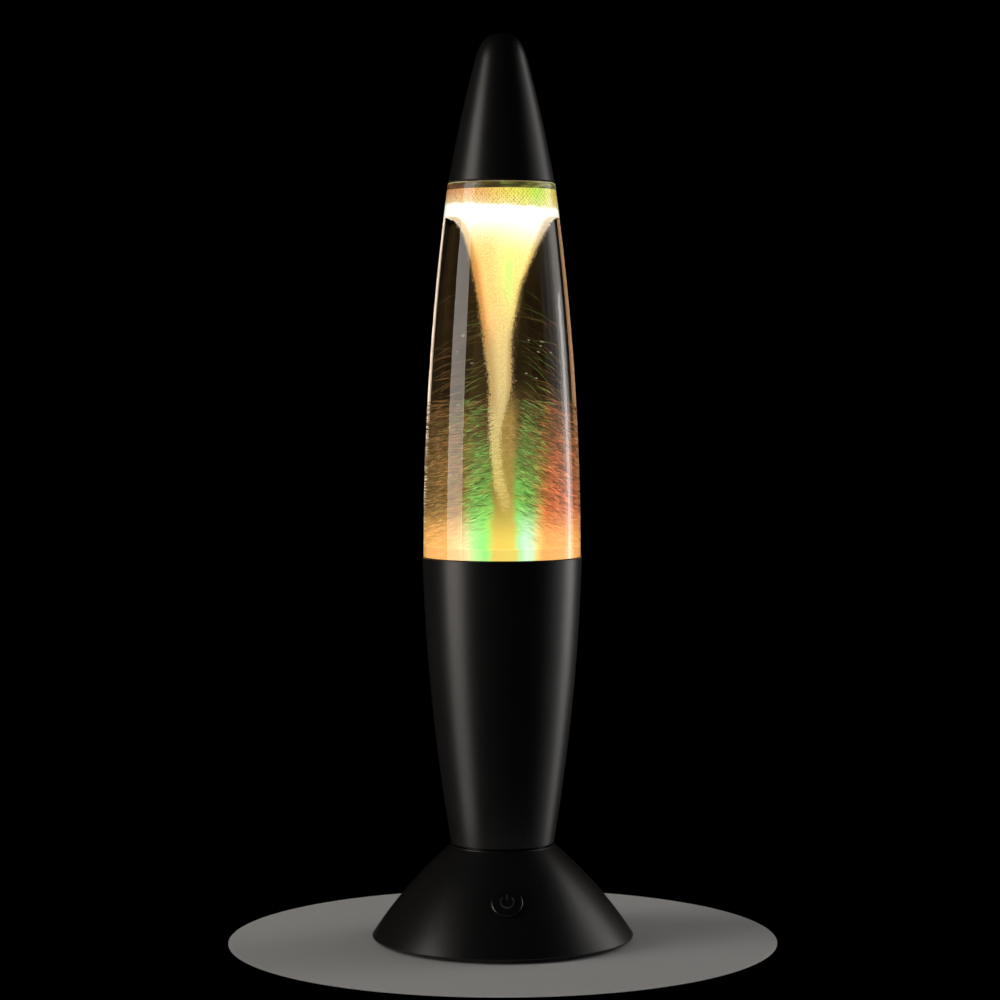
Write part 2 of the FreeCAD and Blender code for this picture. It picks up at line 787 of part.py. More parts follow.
# ---- light ring ----------------------------------------------------------------------------------
def led_board():
    board = ring(led_board_outer, led_board_inner, shelf_z, shelf_z + board_thickness)
    hole = post(small_screw["shank"] + screw_fit, shelf_z - 1, shelf_z + board_thickness + 1,
                led_screw_circle)
    return board.cut(fuse(around(hole, led_screw_angles)))


def leds():
    low = shelf_z + board_thickness
    led = block(led_size, led_size, low, low + led_height, led_circle)
    lens = post(led_size * 0.36, low + led_height - 0.3, low + led_height + 1, led_circle)
    led = led.cut(lens)
    step = 360 / led_count
    return around(led, [i * step for i in range(led_count)])


def led_screws():
    seat = shelf_z + board_thickness
    low = dict(small_screw, head=1.5)
    length = board_thickness + shelf_thickness
    spots = [polar(led_screw_circle, angle) for angle in led_screw_angles]
    return [screw(low, seat, length, False, x, y) for x, y in spots]


# ---- vessel --------------------------------------------------------------------------------------
def vessel():
    """Tapered clear tube, closed above by a shoulder with a filling neck."""
    outer = under_arc(vessel_arc(0), vessel_z, vessel_top_z)
    inner = under_arc(vessel_arc(vessel_wall), vessel_z, vessel_top_z - vessel_top_wall)
    neck = post(neck_radius, vessel_top_z - vessel_top_wall, neck_top_z)
    bore = post(neck_bore, vessel_top_z - vessel_top_wall - 1, neck_top_z + 1)
    return outer.cut(inner).fuse(neck).cut(bore).removeSplitter()


def vessel_floor():
    """Clear floor with the impeller's well, and a skirt that stands on the body's shelf."""
    edge = vessel_bottom_radius - vessel_wall - bond_gap
    skirt = edge - bond_gap
    well_outer = well_radius + well_wall
    pieces = [
        ring(skirt, skirt - floor_skirt_wall, shelf_z, floor_z),
        ring(edge, well_radius, floor_z, liquid_z),
        ring(well_outer, well_radius, well_under_z, liquid_z),
        post(well_outer, well_under_z, well_z),
        post(pivot_boss_radius, well_z, well_z + pivot_boss_height)]
    boss = post(floor_boss_radius, shelf_z, floor_z, vessel_screw_circle)
    pieces += around(boss, tripod_angles)
    cuts = [post(pivot_pin_radius, well_z + pivot_boss_height - pivot_pin_seat, liquid_z + 1)]
    pilot = post(large_screw["shank"] + screw_fit, shelf_z - 1, shelf_z + vessel_screw_bite + loose_fit,
                 vessel_screw_circle)
    cuts += around(pilot, tripod_angles)
    return fuse(pieces).cut(fuse(cuts)).removeSplitter()


def vessel_gasket():
    outer = vessel_bottom_radius - 0.3
    return ring(outer, body_top_radius - shell_wall + 0.1, body_top_z, vessel_z)


def filler_stopper():
    seat = neck_top_z + seal_height
    head = round_edges(post(stopper_head_radius, seat, seat + stopper_head_height), 0.6,
                       rim_at(seat + stopper_head_height, stopper_head_radius))
    plug = post(neck_bore - bond_gap, neck_top_z - stopper_plug_length, seat)
    bore = post(stopper_plug_bore, neck_top_z - stopper_plug_length - 1, neck_top_z)
    slot = block(2 * stopper_head_radius, stopper_slot, seat + stopper_head_height - 1.2,
                 seat + stopper_head_height + 1)
    return head.fuse(plug).cut(fuse([bore, slot])).removeSplitter()


def stopper_seal():
    return ring(stopper_head_radius - 0.2, neck_bore, neck_top_z, neck_top_z + seal_height)


# ---- nose cap ------------------------------------------------------------------------------------
def cap_arc(inset):
    low = (cap_bottom_radius - inset, cap_z)
    return bowed(low, (nose_radius - inset, cap_top_z - nose_height), cap_bulge)


def nose_curve(inset):
    """Rounded nose that leaves the cap's side without a crease and is level at its tip."""
    side = cap_arc(inset)
    shoulder, tip = side.EndPoint, V(0, 0, cap_top_z - inset)
    share = 1 - inset / nose_height
    curve = Part.BezierCurve()
    curve.setPoles([shoulder, shoulder + side.tangent(side.LastParameter)[0] * nose_side_pull * share,
                    tip + V(nose_tip_pull * share, 0, 0), tip])
    return curve


def cap_solid(inset):
    """The cap's outer form drawn in by inset: a bowed cone that turns into a rounded nose."""
    low, tip = (cap_bottom_radius - inset, cap_z), (0, cap_top_z - inset)
    return turned([
        line((0, cap_z), low), cap_arc(inset), nose_curve(inset), line(tip, (0, cap_z))])


def top_cap():
    return cap_solid(0).cut(cap_solid(cap_wall))


def cap_collar():
    """Sleeve that slides over the vessel's neck, with ribs out to the cap's inner wall."""
    bore = neck_radius + collar_bore_gap
    collar_z = cap_z + collar_start
    collar = ring(bore + collar_wall, bore, collar_z, collar_z + collar_height)
    reach = cap_bottom_radius
    rib = block(reach - bore - collar_wall / 2, cap_rib_thickness, cap_z + cap_rib_start,
                collar_z + collar_height, (reach + bore + collar_wall / 2) / 2)
    ribs = around(rib, [i * 360 / cap_rib_count + 45 for i in range(cap_rib_count)])
    inside = cap_solid(cap_wall + cement_gap)
    return fuse([collar] + [piece.common(inside) for piece in ribs])


def cap_gasket():
    outer = cap_bottom_radius - cap_gasket_inset
    return ring(outer, outer - 1.8, vessel_top_z, cap_z)


# ---- impeller and liquid ---------------------------------------------------------------------------
def blade():
    """One swept blade, bowed between the hub and the disc's rim."""
    low = impeller_z + impeller_disc - 0.3
    inner, outer = hub_radius - 0.6, impeller_radius - 0.4
    half = blade_thickness / 2
    edges = []
    for side in (-1, 1):
        edges.append((V(inner, side * half, low), V((inner + outer) / 2, blade_lean * 0.12 + side * half, low),
                      V(outer, blade_lean + side * half, low)))
    wire = Part.Wire([
        Part.Arc(*edges[0]).toShape(), Part.makeLine(edges[0][2], edges[1][2]),
        Part.Arc(*reversed(edges[1])).toShape(), Part.makeLine(edges[1][0], edges[0][0])])
    swept = Part.Face(wire).extrude(V(0, 0, blade_height + 0.3))
    return swept.common(post(outer, low, low + blade_height + 1))


def impeller():
    disc = round_edges(post(impeller_radius, impeller_z, impeller_z + impeller_disc), 0.5,
                       rim_at(impeller_z + impeller_disc, impeller_radius))
    hub = post(hub_radius, impeller_z, impeller_z + hub_height)
    blades = around(blade(), [i * 360 / blade_count for i in range(blade_count)])
    bore = post(pivot_pin_radius + running_fit, impeller_z - 1, impeller_z + hub_height + 1)
    wheel = fuse([disc, hub] + blades)
    return wheel.cut(fuse(magnet_pockets(impeller_z) + [bore])).removeSplitter()


def impeller_magnets():
    return magnet_pockets(impeller_z)


def impeller_pin():
    return post(pivot_pin_radius, well_z + pivot_boss_height - pivot_pin_seat, pin_top_z)


def pin_clip():
    low = impeller_z + hub_height + loose_fit
    return ring(clip_radius, pivot_pin_radius, low, low + clip_height)


def vortex_outline(grow):
    """Envelope of the floating beads: raft, funnel and tail, grown all round."""
    wall = vessel_arc(vessel_wall + loose_fit - grow)
    raft = under_arc(wall, raft_z - grow, raft_top_z + (1 if grow else 0))
    tail = tail_radius + grow
    mouth = (funnel_mouth_radius + grow, raft_z - funnel_mouth_drop)
    waist = (funnel_waist_radius + grow, raft_z - funnel_waist_drop)
    lip = (funnel_mouth_radius + 5 + grow, raft_z + 0.5)
    end = (tail, pin_top_z + tail_clearance - grow)
    funnel = turned([
        line((0, end[1]), end), line(end, waist), bowed(waist, mouth, -funnel_hollow),
        line(mouth, lip), line(lip, (0, lip[1])), line((0, lip[1]), (0, end[1]))])
    return raft.fuse(funnel).removeSplitter()


def bead_vortex():
    return vortex_outline(0)


def liquid():
    filled = under_arc(vessel_arc(vessel_wall + bond_gap), liquid_z, raft_top_z)
    return filled.cut(vortex_outline(loose_fit))


# ---- write the parts -----------------------------------------------------------------------------
def nodes():
    chip, capacitor, headers = board_parts()
    cells = battery_cells()
    pads = feet()
    made = {
        "top_cap": [top_cap()],
        "cap_collar": [cap_collar()],
        "cap_gasket": [cap_gasket()],
        "filler_stopper": [filler_stopper()],
        "stopper_seal": [stopper_seal()],
        "vessel": [vessel()],
        "vessel_floor": [vessel_floor()],
        "vessel_gasket": [vessel_gasket()],
        "water_fill": [liquid()],
        "bead_vortex": [bead_vortex()],
        "impeller": [impeller()],
        "impeller_magnets": impeller_magnets(),
        "impeller_pin": [impeller_pin()],
        "pin_clip": [pin_clip()],
        "body_shell": [body_shell()],
        "vessel_screws": vessel_screws(),
        "motor_mount": [motor_mount()],
        "motor_can": [motor_can()],
        "motor_end_cap": [motor_end_cap()],
        "motor_terminals": motor_terminals(),
        "motor_screws": motor_screws(),
        "motor_shaft": [motor_shaft()],
        "drive_rotor": [drive_rotor()],
        "drive_magnets": drive_magnets(),
        "led_board": [led_board()],
        "leds": leds(),
        "led_screws": led_screws(),
        "base_shell": [base_shell()],
        "body_screws": body_screws(),
        "base_plate": [base_plate()],
        "base_screws": base_screws(),
        "battery_door": [battery_door()],
        "hinge_pin": [hinge_pin_solid()],
        "battery_contacts": battery_contacts(),
        "power_button": [power_button()],
        "switch_plunger": [switch_plunger()],
        "switch_body": [switch_body()],
        "switch_board": [switch_board()],
        "switch_screws": switch_screws(),
        "main_board": [main_board()],
        "main_screws": main_screws(),
        "driver_chip": chip,
        "capacitor": capacitor,
        "lead_headers": headers,
    }
    for number, cell in enumerate(cells, 1):
        made["battery_cell_%d" % number] = [cell]
    for number, pad in enumerate(pads, 1):
        made["foot_%d" % number] = [pad]
    return made


def main():
    os.makedirs("parts", exist_ok=True)
    for name, solids in nodes().items():
        shape = solids[0] if len(solids) == 1 else Part.makeCompound(solids)
        shape.exportStep("parts/%s.step" % name)
        kinds = len(shape.Solids)
        print("%-18s solids %d  volume %9.2f  valid %s" % (name, kinds, shape.Volume, shape.isValid()))


main()
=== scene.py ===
# %% [markdown]
# A vortex lamp: a black nose cap, a clear tapered vessel of liquid, a black tapered body and a flared
# base. Small beads float on the liquid. A hidden impeller turns the liquid, so the beads are drawn down
# into a glowing funnel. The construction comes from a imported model, which this lesson calls the frame:
# every piece is already in its place, in metres, with the floor at height 0. Blender adds the finishes,
# the beads, the light in the liquid and the studio.

# %% Load the frame
import bmesh
import bpy
import math
from mathutils import Matrix, Vector


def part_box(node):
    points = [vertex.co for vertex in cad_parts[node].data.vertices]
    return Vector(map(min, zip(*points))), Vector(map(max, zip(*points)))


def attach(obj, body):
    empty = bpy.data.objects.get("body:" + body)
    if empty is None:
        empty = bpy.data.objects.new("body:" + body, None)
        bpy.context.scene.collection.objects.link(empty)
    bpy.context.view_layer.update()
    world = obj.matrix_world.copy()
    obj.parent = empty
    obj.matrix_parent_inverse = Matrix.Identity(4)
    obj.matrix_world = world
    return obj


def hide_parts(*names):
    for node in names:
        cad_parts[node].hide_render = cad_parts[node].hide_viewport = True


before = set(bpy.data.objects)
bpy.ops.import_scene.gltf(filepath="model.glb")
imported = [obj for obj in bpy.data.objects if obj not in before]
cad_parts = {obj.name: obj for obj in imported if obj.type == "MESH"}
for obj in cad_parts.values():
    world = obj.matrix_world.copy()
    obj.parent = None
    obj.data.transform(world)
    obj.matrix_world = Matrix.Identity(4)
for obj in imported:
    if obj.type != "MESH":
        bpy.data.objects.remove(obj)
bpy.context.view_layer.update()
MM = 0.001

# %% [markdown]
# Every material and every Geometry Nodes tree below is written as expressions. `Tree.add` makes one node
# and sets its options and sockets. What it gives back is a `Socket`, and ordinary operators on sockets add
# Math nodes, so a mask reads like a formula. The same class serves shaders and geometry, because both
# kinds of tree use the same Math node.

# %% A small class for node expressions
class Socket:
    """An output socket. Arithmetic on it adds Math nodes to its tree."""

    def __init__(self, tree, socket):
        self.tree = tree
        self.socket = socket

    def math(self, operation, *others, clamp=False):
        inputs = dict(enumerate((self,) + others))
        return self.tree.add("ShaderNodeMath", {"operation": operation, "use_clamp": clamp}, inputs)

    def __add__(self, other):
        return self.math("ADD", other)

    __radd__ = __add__

    def __sub__(self, other):
        return self.math("SUBTRACT", other)

    def __rsub__(self, other):
        return self.tree.add("ShaderNodeMath", {"operation": "SUBTRACT"}, {0: other, 1: self})

    def __mul__(self, other):
        return self.math("MULTIPLY", other)

    __rmul__ = __mul__

    def __truediv__(self, other):
        return self.math("DIVIDE", other)

    def other(self, name):
        """Another output of the same node."""
        return Socket(self.tree, self.socket.node.outputs[name])

    def rise(self, start, end):
        """0 before start, 1 after end, and a smooth step between them. start may be the larger one."""
        return self.tree.add("ShaderNodeMapRange", {"interpolation_type": "SMOOTHSTEP"},
                             {"Value": self, "From Min": start, "From Max": end})

    def rise_mm(self, start, end):
        """The same step, with its ends in millimetres."""
        return self.rise(start * MM, end * MM)

    def clip(self):
        """The value, kept between 0 and 1."""
        return self.math("ADD", 0.0, clamp=True)


class Tree:
    """A node tree whose nodes all come from one method."""

    def __init__(self, tree):
        self.tree = tree

    def add(self, kind, settings=None, inputs=None, output=0):
        node = self.tree.nodes.new(kind)
        for name, value in (settings or {}).items():
            if name == "stops":
                self.set_stops(node.color_ramp, value)
            else:
                setattr(node, name, value)
        for name, value in (inputs or {}).items():
            if isinstance(value, Socket):
                self.tree.links.new(value.socket, node.inputs[name])
            else:
                node.inputs[name].default_value = value
        return Socket(self, node.outputs[output]) if node.outputs else node

    @staticmethod
    def set_stops(ramp, stops):
        while len(ramp.elements) < len(stops):
            ramp.elements.new(0.5)
        for element, (place, colour) in zip(ramp.elements, stops):
            element.position = place
            element.color = colour


# %% [markdown]
# A finish is a Principled shader with a few of its inputs driven by patterns. Patterns read Object
# coordinates, so they stay on the piece from every side. `finish` clears a new material, hands its tree to
# the maker function, and connects what the function gives back. Numbers that are the same all over are
# set straight on the shader's sockets.

# %% Helpers for finishes
def mix(tree, factor, first, second):
    """Colour mix: first where factor is 0, second where it is 1."""
    settings = {"data_type": "RGBA"}
    node_inputs = {0: factor, 6: first, 7: second}
    return tree.add("ShaderNodeMix", settings, node_inputs, output=2)


def rgb(red, green, blue):
    return (red, green, blue, 1.0)


def place(tree):
    """Object coordinates as a vector socket."""
    return tree.add("ShaderNodeTexCoord", output="Object")


def axes(tree):
    """The three Object coordinates, as numbers in metres."""
    split = tree.add("ShaderNodeSeparateXYZ", inputs={0: place(tree)})
    return split, split.other("Y"), split.other("Z")


def noise(tree, size, detail=2.0, stretch=(1, 1, 1)):
    """Noise from 0 to 1 whose lumps are about size metres across."""
    mapped = tree.add("ShaderNodeMapping", inputs={"Vector": place(tree), "Scale": stretch})
    return tree.add("ShaderNodeTexNoise", inputs={"Vector": mapped, "Scale": 1 / size, "Detail": detail})


def carried(tree, name):
    """A value that the piece's mesh carries under a name."""
    return tree.add("ShaderNodeAttribute", {"attribute_name": name}, output="Fac")


def bump(tree, height, distance, strength=1.0):
    return tree.add("ShaderNodeBump", inputs={"Height": height, "Distance": distance, "Strength": strength})


def finish(name, maker):
    """A new material from a maker(tree) that returns the Principled shader's inputs."""
    material = bpy.data.materials.new(name)
    material.use_nodes = True
    material.node_tree.nodes.clear()
    tree = Tree(material.node_tree)
    shader = tree.add("ShaderNodeBsdfPrincipled", inputs=maker(tree))
    tree.add("ShaderNodeOutputMaterial", inputs={"Surface": shader})
    return material


# %% [markdown]
# The cap, body and base are moulded in a black plastic with a soft matte lacquer. It isn't quite black:
# a lacquer sends back a little under one percent of the light as colour, and its gloss spreads a lamp into
# a wide, dim band. A very fine grain in the normal breaks the band's edge, and slow clouds in the roughness
# keep a large surface from looking computed.

# %% Soft-touch black
def soft_touch_black(tree):
    grain = noise(tree, 0.35 * MM)
    clouds = noise(tree, 18 * MM, detail=4.0)
    return {
        "Base Color": mix(tree, clouds, rgb(0.0060, 0.0061, 0.0064), rgb(0.0084, 0.0084, 0.0086)),
        "Roughness": 0.29 + 0.07 * clouds,
        "Specular IOR Level": 0.42,
        "Normal": bump(tree, grain, 0.012 * MM, 0.5),
    }


def button_black(tree):
    grain = noise(tree, 0.25 * MM)
    return {
        "Base Color": mix(tree, grain, rgb(0.005, 0.005, 0.005), rgb(0.009, 0.009, 0.009)),
        "Roughness": 0.22 + 0.06 * grain,
        "Normal": bump(tree, grain, 0.01 * MM, 0.5),
    }


FINISH = {
    "shell_black": finish("soft_touch_black", soft_touch_black),
    "button_black": finish("button_black", button_black),
}

# %% [markdown]
# The camera looks slightly down from a little to the left of the front, through a long lens, so the
# upright sides stay nearly parallel. An angle round the lamp is counted from the -Y side, its front,
# towards +X. Two small helpers save lines later: one links an object, the other finishes a bmesh.

# %% Camera
CAMERA_DISTANCE = 1119.9 * MM
CAMERA_HEIGHT = 221.54 * MM
CAMERA_SIDE = -2.5          # degrees from the -Y side towards +X
CAMERA_TILT = 2.707         # degrees below level
CAMERA_AIM = 0.034          # degrees to the left of the axis
CAMERA_ROLL = 0.1
CAMERA_LENS = 105.84


def around_axis(side, distance, height):
    """A point at an angle from the -Y side towards +X."""
    angle = math.radians(side)
    return Vector((distance * math.sin(angle), -distance * math.cos(angle), height))


def show(thing):
    """Links an object to the scene."""
    bpy.context.scene.collection.objects.link(thing)
    return thing


def mesh_of(work, name):
    """The finished mesh of a bmesh, which is freed."""
    mesh = bpy.data.meshes.new(name)
    work.to_mesh(mesh)
    work.free()
    return mesh


camera_data = bpy.data.cameras.new("camera")
camera_data.lens = CAMERA_LENS
camera = bpy.data.objects.new("camera", camera_data)
camera.location = around_axis(CAMERA_SIDE, CAMERA_DISTANCE, CAMERA_HEIGHT)
camera.rotation_euler = [math.radians(v) for v in (90 - CAMERA_TILT, CAMERA_ROLL, CAMERA_SIDE + CAMERA_AIM)]
bpy.context.scene.camera = show(camera)
print("camera at", [round(v, 4) for v in camera.location])

# %% [markdown]
# The lights are tall softboxes beside the lamp. Area lights are clear to rays, so panels that stand one
# behind the other add up: the right softbox has seven layers, one inside the other, which gives its band
# on the black shells a soft side. Panels in exactly one plane would hide each other, so no two share both
# their middle and their distance. The softboxes light the surfaces and show in their gloss, but not
# through glass. The limb lights show only through glass, where they draw the lines along the vessel's
# edges.

# %% Softboxes
LIGHT_DISTANCE = 1.0
LIGHT_LOW = -0.65
LIGHT_HIGH = 0.90
LIGHT_WAIST = -0.10         # below this height a softbox gives about half its light
WAIST_SHARE = 0.48
BEHIND = 10 * MM            # from one plane of panels to the next
GLASS_BEHIND = 30 * MM


def panel(name, start, end, low, high, distance, radiance, tint, glass):
    """Area light that faces the axis and fills the angles from start to end, in degrees."""
    width = 2 * distance * math.tan(math.radians(end - start) / 2)
    data = bpy.data.lights.new(name, "AREA")
    data.shape = "RECTANGLE"
    data.size = width
    data.size_y = high - low
    data.energy = radiance * math.pi * width * data.size_y
    data.color = tint
    side = CAMERA_SIDE + (start + end) / 2
    light = bpy.data.objects.new(name, data)
    light.location = around_axis(side, distance, (low + high) / 2)
    light.rotation_euler = (math.radians(90), 0, math.radians(side))
    light.visible_camera = False
    light.visible_glossy = not glass
    light.visible_transmission = glass
    light.visible_diffuse = not glass
    show(light)


def softbox(name, start, end, radiance, tint, glass=False):
    """A tall panel, and a shorter one just behind it that adds light above the waist.

    It lights the surfaces and shows in gloss, or, with glass set, it shows only through glass.
    """
    near = LIGHT_DISTANCE + (GLASS_BEHIND if glass else 0)
    for part, low, distance, share in (("tall", LIGHT_LOW, near, WAIST_SHARE),
                                       ("high", LIGHT_WAIST, near + BEHIND, 1 - WAIST_SHARE)):
        panel("%s_%s" % (name, part), start, end, low, LIGHT_HIGH, distance, radiance * share, tint, glass)


WARM = (1.0, 0.93, 0.86)
PLAIN = (1.0, 0.97, 0.94)
BROWN = (1.0, 0.70, 0.44)
softbox("softbox_left", -86, -60, 3.85, WARM)
softbox("softbox_left_hem_1", -86.6, -85.4, 2.6, WARM)
softbox("softbox_left_hem_2", -60.6, -59.4, 2.6, WARM)
RIGHT_LAYERS = ((72, 130, 0.22), (84, 128, 0.30), (96, 127, 0.40), (103, 126, 0.46), (108, 122, 0.42))
for step, (start, end, radiance) in enumerate(RIGHT_LAYERS, 1):
    softbox("softbox_right_%d" % step, start, end, radiance, PLAIN)
CORE_HIGH = 0.37            # the right band's core is shorter: it spares the cap's tip and the base
for name, start, end, low, behind, radiance in (("middle", 105, 124, -0.30, 20 * MM, 0.50),
                                                ("core", 111.5, 119, 0.0, 24 * MM, 2.6)):
    panel("softbox_right_" + name, start, end, low, CORE_HIGH, LIGHT_DISTANCE + behind, radiance, PLAIN,
          glass=False)
softbox("softbox_far_right", 118, 150, 0.03, BROWN)
softbox("softbox_far_left", -150, -118, 0.012, BROWN)
CREAM = (1.0, 0.82, 0.62)
ORANGE = (1.0, 0.58, 0.30)
for step, (far, radiance) in enumerate(((120, 3.0), (125, 1.6), (130, 0.8)), 1):
    softbox("limb_light_left_%d" % step, 108, far, radiance, CREAM, glass=True)
for step, (far, radiance) in enumerate(((118, 1.7), (127, 0.5), (133, 0.4)), 1):
    softbox("limb_light_right_%d" % step, -far, -104, radiance, ORANGE, glass=True)


# %% [markdown]
# The lamp stands on a plain pale disc, and a faint sky fills the shadows a little. The camera, metal and
# glass see a dark room, because Light Path takes the sky away for their rays. A beam through the loose
# beads crosses many clear layers, so the limit on clear surfaces is raised.

# %% Floor and sky
def pale_floor(tree):
    return {"Base Color": rgb(0.62, 0.62, 0.62), "Roughness": 0.8}


FLOOR_RADIUS = 105 * MM
work = bmesh.new()
bmesh.ops.create_circle(work, cap_ends=True, radius=FLOOR_RADIUS, segments=96)
floor = show(bpy.data.objects.new("floor", mesh_of(work, "floor")))
floor.data.materials.append(finish("pale_floor", pale_floor))

world = bpy.data.worlds.new("studio")
world.use_nodes = True
world.node_tree.nodes.clear()
tree = Tree(world.node_tree)
path = tree.add("ShaderNodeLightPath")
seen = path + path.other("Is Glossy Ray") + path.other("Is Transmission Ray")
SKY_STRENGTH = 0.08
sky = tree.add("ShaderNodeBackground",
               inputs={"Color": rgb(1, 1, 1), "Strength": SKY_STRENGTH * (1 - seen.clip())})
tree.add("ShaderNodeOutputWorld", inputs={"Surface": sky})
bpy.context.scene.world = world
bpy.context.scene.view_settings.view_transform = "Standard"
bpy.context.scene.cycles.transparent_max_bounces = 32
print("lights:", len(bpy.data.lights))

# %% [markdown]
# The large shapes of this lamp are turned, so one helper spins an outline round the upright axis. An
# outline is a list of (radius, height) points. Its curved stretches are arcs given by their two ends and
# how far they bulge, the way a moulder's drawing gives them. The helper merges the points that lie on the
# axis, turns all faces outwards and keeps edges sharper than 40 degrees crisp.

# %% Helpers for turned shapes
SHARP_ANGLE = 40            # degrees
ON_AXIS = 1e-7              # a radius below this is a point on the axis


def bowed(start, end, bulge, steps):
    """Points of the arc from start to end, pushed away from the axis by bulge at its middle."""
    along = Vector(end) - Vector(start)
    span = along.length
    along /= span
    out = Vector((along.y, -along.x)) * (1 if along.y > 0 else -1)
    radius = (span * span / 4 + bulge * bulge) / (2 * bulge)
    half = math.asin(span / 2 / radius)
    centre = (Vector(start) + Vector(end)) / 2 - out * (radius - bulge)
    points = []
    for step in range(steps + 1):
        angle = half * (2 * step / steps - 1)
        points.append(centre + radius * (out * math.cos(angle) + along * math.sin(angle)))
    return points


def add_piece(name, mesh, materials):
    piece = bpy.data.objects.new(name, mesh)
    for material in materials:
        mesh.materials.append(material)
    return show(piece)


def spin(name, outline, materials, segments=192, finish_of=None, centre_of=None, closed=True):
    """Turned solid. finish_of(index) picks the material of the stretch after a point of the outline."""
    work = bmesh.new()
    rings = []
    for radius, height in outline:
        middle = centre_of(height) if centre_of else Vector((0, 0))
        count = segments if radius > ON_AXIS else 1
        ring = []
        for step in range(count):
            angle = 2 * math.pi * step / count
            ring.append(work.verts.new((middle.x + radius * math.cos(angle),
                                        middle.y + radius * math.sin(angle), height)))
        rings.append(ring)
    pairs = list(zip(rings, rings[1:])) + ([(rings[-1], rings[0])] if closed else [])
    for index, (low, high) in enumerate(pairs):
        for step in range(segments):
            after = (step + 1) % segments
            corners = [low[step % len(low)], low[after % len(low)], high[after % len(high)],
                       high[step % len(high)]]
            corners = list(dict.fromkeys(corners))
            if len(corners) > 2:
                face = work.faces.new(corners)
                face.smooth = True
                face.material_index = finish_of(index) if finish_of else 0
    bmesh.ops.recalc_face_normals(work, faces=work.faces)
    mesh = mesh_of(work, name)
    mesh.set_sharp_from_angle(angle=math.radians(SHARP_ANGLE))
    return add_piece(name, mesh, materials)


# %% [markdown]
# The vessel is a tube of clear acrylic, bowed like a barrel and closed by a shoulder with a filling neck.
# What makes it look full is refraction. Where a ray goes from air into acrylic, the index is 1.49. Where it
# goes from acrylic into liquid, only the ratio of the two matters, 1.49 to 1.33, so the inner faces carry
# 1.12 and no separate block of water is needed. The cut end of the wall stands over the light ring and
# carries light up the wall, so it gets a finish of its own.

# %% Clear acrylic
ACRYLIC_INDEX = 1.49
LIQUID_INDEX = 1.33


def clear_wall(index, rough):
    def maker(tree):
        smears = noise(tree, 9 * MM, detail=3.0, stretch=(1, 1, 0.4))
        return {"Base Color": rgb(1.0, 0.995, 0.985), "Roughness": rough * smears,
                "Transmission Weight": 1.0, "IOR": index}
    return maker


def ramp(tree, stops, value):
    return tree.add("ShaderNodeValToRGB", {"stops": [(at, rgb(*colour)) for at, colour in stops]}, {0: value})


NEAR_RING = [(0.10, (1.0, 0.46, 0.12)), (0.16, (1.0, 0.55, 0.16)), (0.215, (1.0, 0.82, 0.42)),
             (0.265, (0.58, 0.95, 0.34)), (0.34, (0.30, 0.92, 0.22)), (0.38, (0.48, 0.90, 0.18)),
             (0.415, (0.86, 0.62, 0.11)), (0.56, (0.86, 0.66, 0.12)), (0.60, (0.44, 1.0, 0.38)),
             (0.65, (0.72, 1.0, 0.72)), (0.70, (0.66, 1.0, 0.58)), (0.735, (0.97, 0.72, 0.20)),
             (0.78, (1.0, 0.44, 0.12))]
ABOVE_RING = [(0.08, (0.34, 0.20, 0.06)), (0.20, (0.56, 0.24, 0.07)), (0.27, (0.30, 0.68, 0.14)),
              (0.395, (0.26, 0.74, 0.13)), (0.43, (0.34, 0.27, 0.05)), (0.55, (0.34, 0.27, 0.05)),
              (0.60, (0.24, 0.74, 0.13)), (0.71, (0.32, 0.62, 0.12)), (0.79, (1.0, 0.20, 0.07)),
              (0.92, (0.90, 0.24, 0.10))]


RING_SPAN = 48 * MM         # width of the colours over the light ring
RAFT_SPAN = 42 * MM         # and in the raft


def ring_light(tree, noisy, spread):
    """Colour of the light over the ring, from the left edge to the right one, pale near the ring."""
    x, y, z = axes(tree)
    across = (x + spread * (noisy - 0.5)) / RING_SPAN + 0.5
    above = ramp(tree, ABOVE_RING, across)
    return mix(tree, z.rise_mm(169, 152), above, ramp(tree, NEAR_RING, across))


def lit_end(tree):
    return {"Base Color": rgb(0.02, 0.02, 0.02), "Roughness": 0.4, "Emission Strength": 1.3,
            "Emission Color": ring_light(tree, noise(tree, 8 * MM), 4 * MM)}


def shoulder_band_painted_reflection(tree):
    """Painted reflection in the thick shoulder: the raft upside down, as dark and bright wavy lines."""
    x, y, z = axes(tree)
    waves = noise(tree, 4.5 * MM, detail=3.0, stretch=(1, 1, 5))
    stops = [(0.05, (0.20, 0.085, 0.03)), (0.20, (0.10, 0.05, 0.02)), (0.27, (0.20, 0.17, 0.11)),
             (0.34, (0.09, 0.06, 0.012)), (0.44, (0.10, 0.075, 0.014)), (0.50, (0.16, 0.20, 0.04)),
             (0.60, (0.11, 0.10, 0.02)), (0.78, (0.24, 0.23, 0.05)), (0.92, (0.32, 0.33, 0.12))]
    hue = ramp(tree, stops, (x + 4 * MM * (waves - 0.5)) / RAFT_SPAN + 0.5)
    return {"Base Color": rgb(0.01, 0.01, 0.01), "Roughness": 0.15, "Emission Strength": 1.0,
            "Emission Color": mix(tree, waves.rise(0.62, 0.40) * 0.75, hue, rgb(0.03, 0.022, 0.01))}


# Painted highlight: cream patches of emission along the shoulder's rounded edge.
def shoulder_edge_painted_highlight(tree):
    patches = noise(tree, 7 * MM).rise(0.42, 0.60)
    return {"Base Color": rgb(0.02, 0.02, 0.02), "Roughness": 0.2, "Emission Strength": 0.6,
            "Emission Color": mix(tree, patches, rgb(0.42, 0.30, 0.12), rgb(0.80, 0.72, 0.38))}


VESSEL_FINISHES = [
    finish("clear_acrylic_outside", clear_wall(ACRYLIC_INDEX, 0.02)),
    finish("clear_acrylic_wet_side", clear_wall(ACRYLIC_INDEX / LIQUID_INDEX, 0.01)),
    finish("lit_wall_end", lit_end),
    finish("shoulder_band_painted_reflection", shoulder_band_painted_reflection),
    finish("shoulder_edge_painted_highlight", shoulder_edge_painted_highlight),
]
